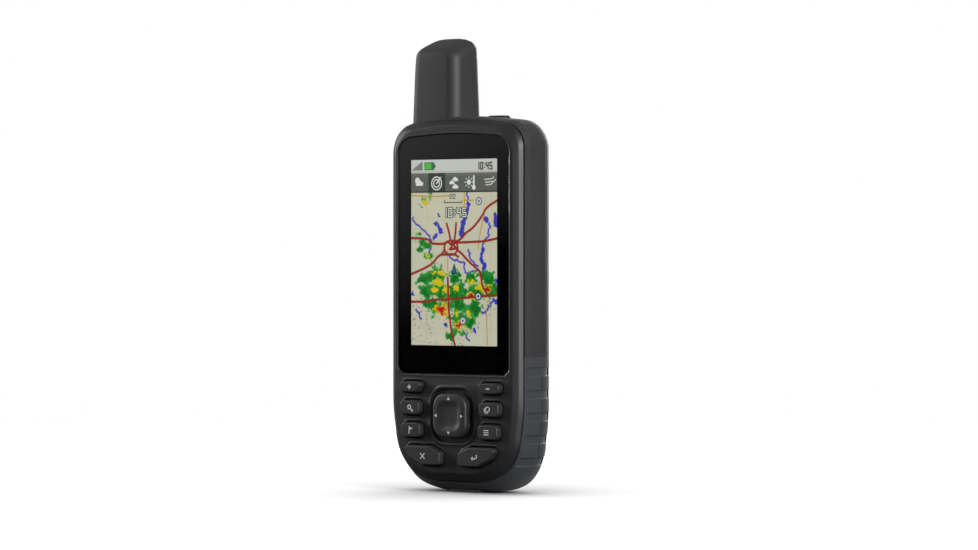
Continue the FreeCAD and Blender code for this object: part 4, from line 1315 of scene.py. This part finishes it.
    def execute(self, context):
        settings = context.scene.nav_display
        columns, rows = settings.columns, settings.rows
        width, height = settings.width / MM, settings.height / MM
        p = Picture(columns, rows, width, height, settings.seed)
        self.ground(p)
        self.water(p)
        self.weather(p)
        self.roads(p)
        self.pointer(p)
        self.clock(p)
        self.bars(p)
        xs = np.linspace(-width / 2, width / 2, columns + 1)
        zs = MID_Z + np.linspace(height / 2, -height / 2, rows + 1)
        front_y, back_y = PICTURE_Y + 0.05, -12.35
        gx, gz = np.meshgrid(xs, zs)
        verts = np.stack((gx, np.full(gx.shape, front_y), gz), axis=2).reshape(-1, 3)
        index = np.arange((rows + 1) * (columns + 1)).reshape(rows + 1, columns + 1)
        faces = np.stack((index[:-1, :-1], index[1:, :-1], index[1:, 1:], index[:-1, 1:]), axis=2)
        faces = [tuple(f) for f in faces.reshape(-1, 4).tolist()]
        rim = np.concatenate((index[0, :-1], index[:-1, -1], index[-1, :0:-1], index[:0:-1, 0])).tolist()
        start = len(verts)
        low = verts[rim].copy()
        low[:, 1] = back_y
        verts = np.vstack((verts, low))
        count = len(rim)
        faces += [(rim[i], rim[(i + 1) % count], start + (i + 1) % count, start + i) for i in range(count)]
        faces.append(tuple(range(start, start + count)))
        mesh = bpy.data.meshes.new("display_picture")
        mesh.from_pydata((verts * MM).tolist(), [], faces)
        linear_rgb = np.where(p.rgb <= 0.04045, p.rgb / 12.92, ((p.rgb + 0.055) / 1.055) ** 2.4)
        shades = np.ones((len(mesh.loops), 4), np.float32)
        cells = np.repeat(linear_rgb.reshape(-1, 3), 4, axis=0)
        shades[:len(cells), :3] = cells
        shades[len(cells):, :3] = 0.01
        layer = mesh.color_attributes.new("Picture", "FLOAT_COLOR", "CORNER")
        layer.data.foreach_set("color", shades.ravel())
        mesh.materials.append(lit_picture(settings.glow))
        piece = bpy.data.objects.new("display_picture", mesh)
        bpy.context.scene.collection.objects.link(piece)
        place(piece, "case", "display", "display_panel")
        return {"FINISHED"}


# ---- stage --------------------------------------------------------------------------
EYE = (887.3, -1083.5, 85.6)
AIM = (16.006, PICTURE_Y, 78.093)
# Reach of the floor's painted contact shadow, and the strength of the floor's glow.
FLOOR_SHADE_REACH = 110.0
FLOOR_GLOW = 0.86
# Each lamp: name, place, aim and size in millimetres, and power in watts.
LAMPS = (
    ("key_light", (-900, -250, 350), (0, 0, 80), (400, 500), 4.6),
    ("back_light", (-260, 900, 300), (0, 0, 80), (500, 500), 6.0),
    ("side_light", (900, -300, 330), (0, 0, 90), (300, 500), 11.0),
)


class NAV_OT_stage(bpy.types.Operator):
    """Camera, pale floor and soft studio light"""

    bl_idname = "nav.stage"
    bl_label = "Stage"

    def softbox(self, name, place_mm, aim_mm, size_mm, power):
        """One square area lamp turned towards a point."""
        lamp = bpy.data.lights.new(name, "AREA")
        lamp.energy = power
        lamp.shape = "RECTANGLE"
        lamp.size, lamp.size_y = size_mm[0] * MM, size_mm[1] * MM
        lamp.spread = math.pi
        piece = bpy.data.objects.new(name, lamp)
        piece.location = Vector(place_mm) * MM
        aim = Vector(aim_mm) - Vector(place_mm)
        piece.rotation_euler = aim.to_track_quat("-Z", "Y").to_euler()
        bpy.context.scene.collection.objects.link(piece)

    def floor(self, reach):
        """White sweep that stays bright to the eye but throws little light back up; near the unit its glow is
        dimmed by ambient occlusion, a painted contact shadow.
        """
        material = bpy.data.materials.new("white_sweep")
        material.use_nodes = True
        tree = material.node_tree
        tree.nodes.clear()
        output = add(tree, "ShaderNodeOutputMaterial")
        path = add(tree, "ShaderNodeLightPath")
        # Painted contact shadow: the floor's glow fades with ambient occlusion within FLOOR_SHADE_REACH of the
        # unit.
        near = add(tree, "ShaderNodeAmbientOcclusion", {"samples": 16, "in_Distance": FLOOR_SHADE_REACH * MM})
        soft = add(tree, "ShaderNodeMath", {"operation": "POWER", "in_1": 2.0}, _0=near.outputs["AO"])
        level = add(tree, "ShaderNodeMath", {"operation": "MULTIPLY", "in_1": FLOOR_GLOW}, _0=soft.outputs[0])
        seen = add(tree, "ShaderNodeBsdfPrincipled", {
            "in_Base_Color": (0.36, 0.36, 0.36, 1.0), "in_Roughness": 1.0, "in_Specular_IOR_Level": 0.0,
            "in_Emission_Color": (1.0, 1.0, 1.0, 1.0)}, Emission_Strength=level.outputs[0])
        unseen = add(tree, "ShaderNodeBsdfDiffuse", {"in_Color": (0.12, 0.12, 0.12, 1.0)})
        mix = add(tree, "ShaderNodeMixShader", _0=path.outputs["Is Camera Ray"], _1=unseen.outputs[0],
                  _2=seen.outputs[0])
        tree.links.new(mix.outputs[0], output.inputs["Surface"])
        edge = [(reach * math.cos(a), reach * math.sin(a), 0.0) for a in np.linspace(0, 2 * math.pi, 65)[:-1]]
        mesh_object("floor", edge, [tuple(range(64))], material, flat=True)

    def surround(self, scene, sky):
        """White to the eye; as a light it fades from a bright upper half to black below the horizon."""
        world = bpy.data.worlds.new("white")
        world.use_nodes = True
        tree = world.node_tree
        back = tree.nodes["Background"]
        where = add(tree, "ShaderNodeTexCoord")
        axes = add(tree, "ShaderNodeSeparateXYZ", Vector=where.outputs["Generated"])
        lean = add(tree, "ShaderNodeMapRange", {
            "in_From_Min": -0.684, "in_From_Max": -0.584, "in_To_Min": 0.055, "in_To_Max": -0.055,
        }, Value=axes.outputs["X"])
        slant = add(tree, "ShaderNodeMath", {"operation": "ADD"},
                    _0=axes.outputs["Z"], _1=lean.outputs["Result"])
        rise = add(tree, "ShaderNodeMapRange", {
            "in_From_Min": -0.005, "in_From_Max": 0.055, "in_To_Min": 0.0, "in_To_Max": sky,
        }, Value=slant.outputs[0])
        path = add(tree, "ShaderNodeLightPath")
        pick = add(tree, "ShaderNodeMix", {"data_type": "FLOAT", "in_3": 1.0},
                   _0=path.outputs["Is Camera Ray"], _2=rise.outputs["Result"])
        tree.links.new(pick.outputs[0], back.inputs["Strength"])
        back.inputs["Color"].default_value = (1.0, 1.0, 1.0, 1.0)
        scene.world = world

    def execute(self, context):
        scene = context.scene
        settings = scene.nav_stage
        camera = bpy.data.cameras.new("camera")
        camera.sensor_width = 36.0
        camera.lens = settings.lens
        camera.clip_end = 20.0
        eye = bpy.data.objects.new("camera", camera)
        target = Vector(AIM) * MM
        eye.location = Vector(EYE) * MM
        eye.rotation_euler = (target - eye.location).to_track_quat("-Z", "Y").to_euler()
        scene.collection.objects.link(eye)
        scene.camera = eye
        self.floor(settings.reach / MM)
        self.surround(scene, settings.sky)
        scene.view_settings.view_transform = "Standard"
        for lamp in LAMPS:
            self.softbox(*lamp)
        return {"FINISHED"}


# ---- panel and registration ---------------------------------------------------------
OPERATORS = (
    NAV_OT_case, NAV_OT_front, NAV_OT_grip, NAV_OT_antenna, NAV_OT_screws, NAV_OT_keys, NAV_OT_rocker,
    NAV_OT_glass, NAV_OT_display, NAV_OT_stage,
)


class NAV_PT_builder(bpy.types.Panel):
    """Lists the pieces in the order in which they are made"""

    bl_idname = "NAV_PT_builder"
    bl_label = "Navigator"
    bl_space_type = "VIEW_3D"
    bl_region_type = "UI"
    bl_category = "Navigator"

    def draw(self, context):
        for operator in OPERATORS:
            self.layout.operator(operator.bl_idname)
        for group in GROUPS:
            settings = getattr(context.scene, group)
            box = self.layout.box()
            for name in settings.bl_rna.properties.keys():
                if name not in ("rna_type", "name"):
                    box.prop(settings, name)


def register():
    for group in GROUPS.values():
        bpy.utils.register_class(group)
    for name, group in GROUPS.items():
        setattr(bpy.types.Scene, name, bpy.props.PointerProperty(type=group))
    for cls in OPERATORS + (NAV_PT_builder,):
        bpy.utils.register_class(cls)


def unregister():
    for cls in reversed(OPERATORS + (NAV_PT_builder,)):
        bpy.utils.unregister_class(cls)
    for name in GROUPS:
        delattr(bpy.types.Scene, name)
    for group in GROUPS.values():
        bpy.utils.unregister_class(group)


def main():
    register()
    for operator in OPERATORS:
        getattr(bpy.ops.nav, operator.bl_idname.split(".")[1])()


if __name__ == "__main__":
    main()
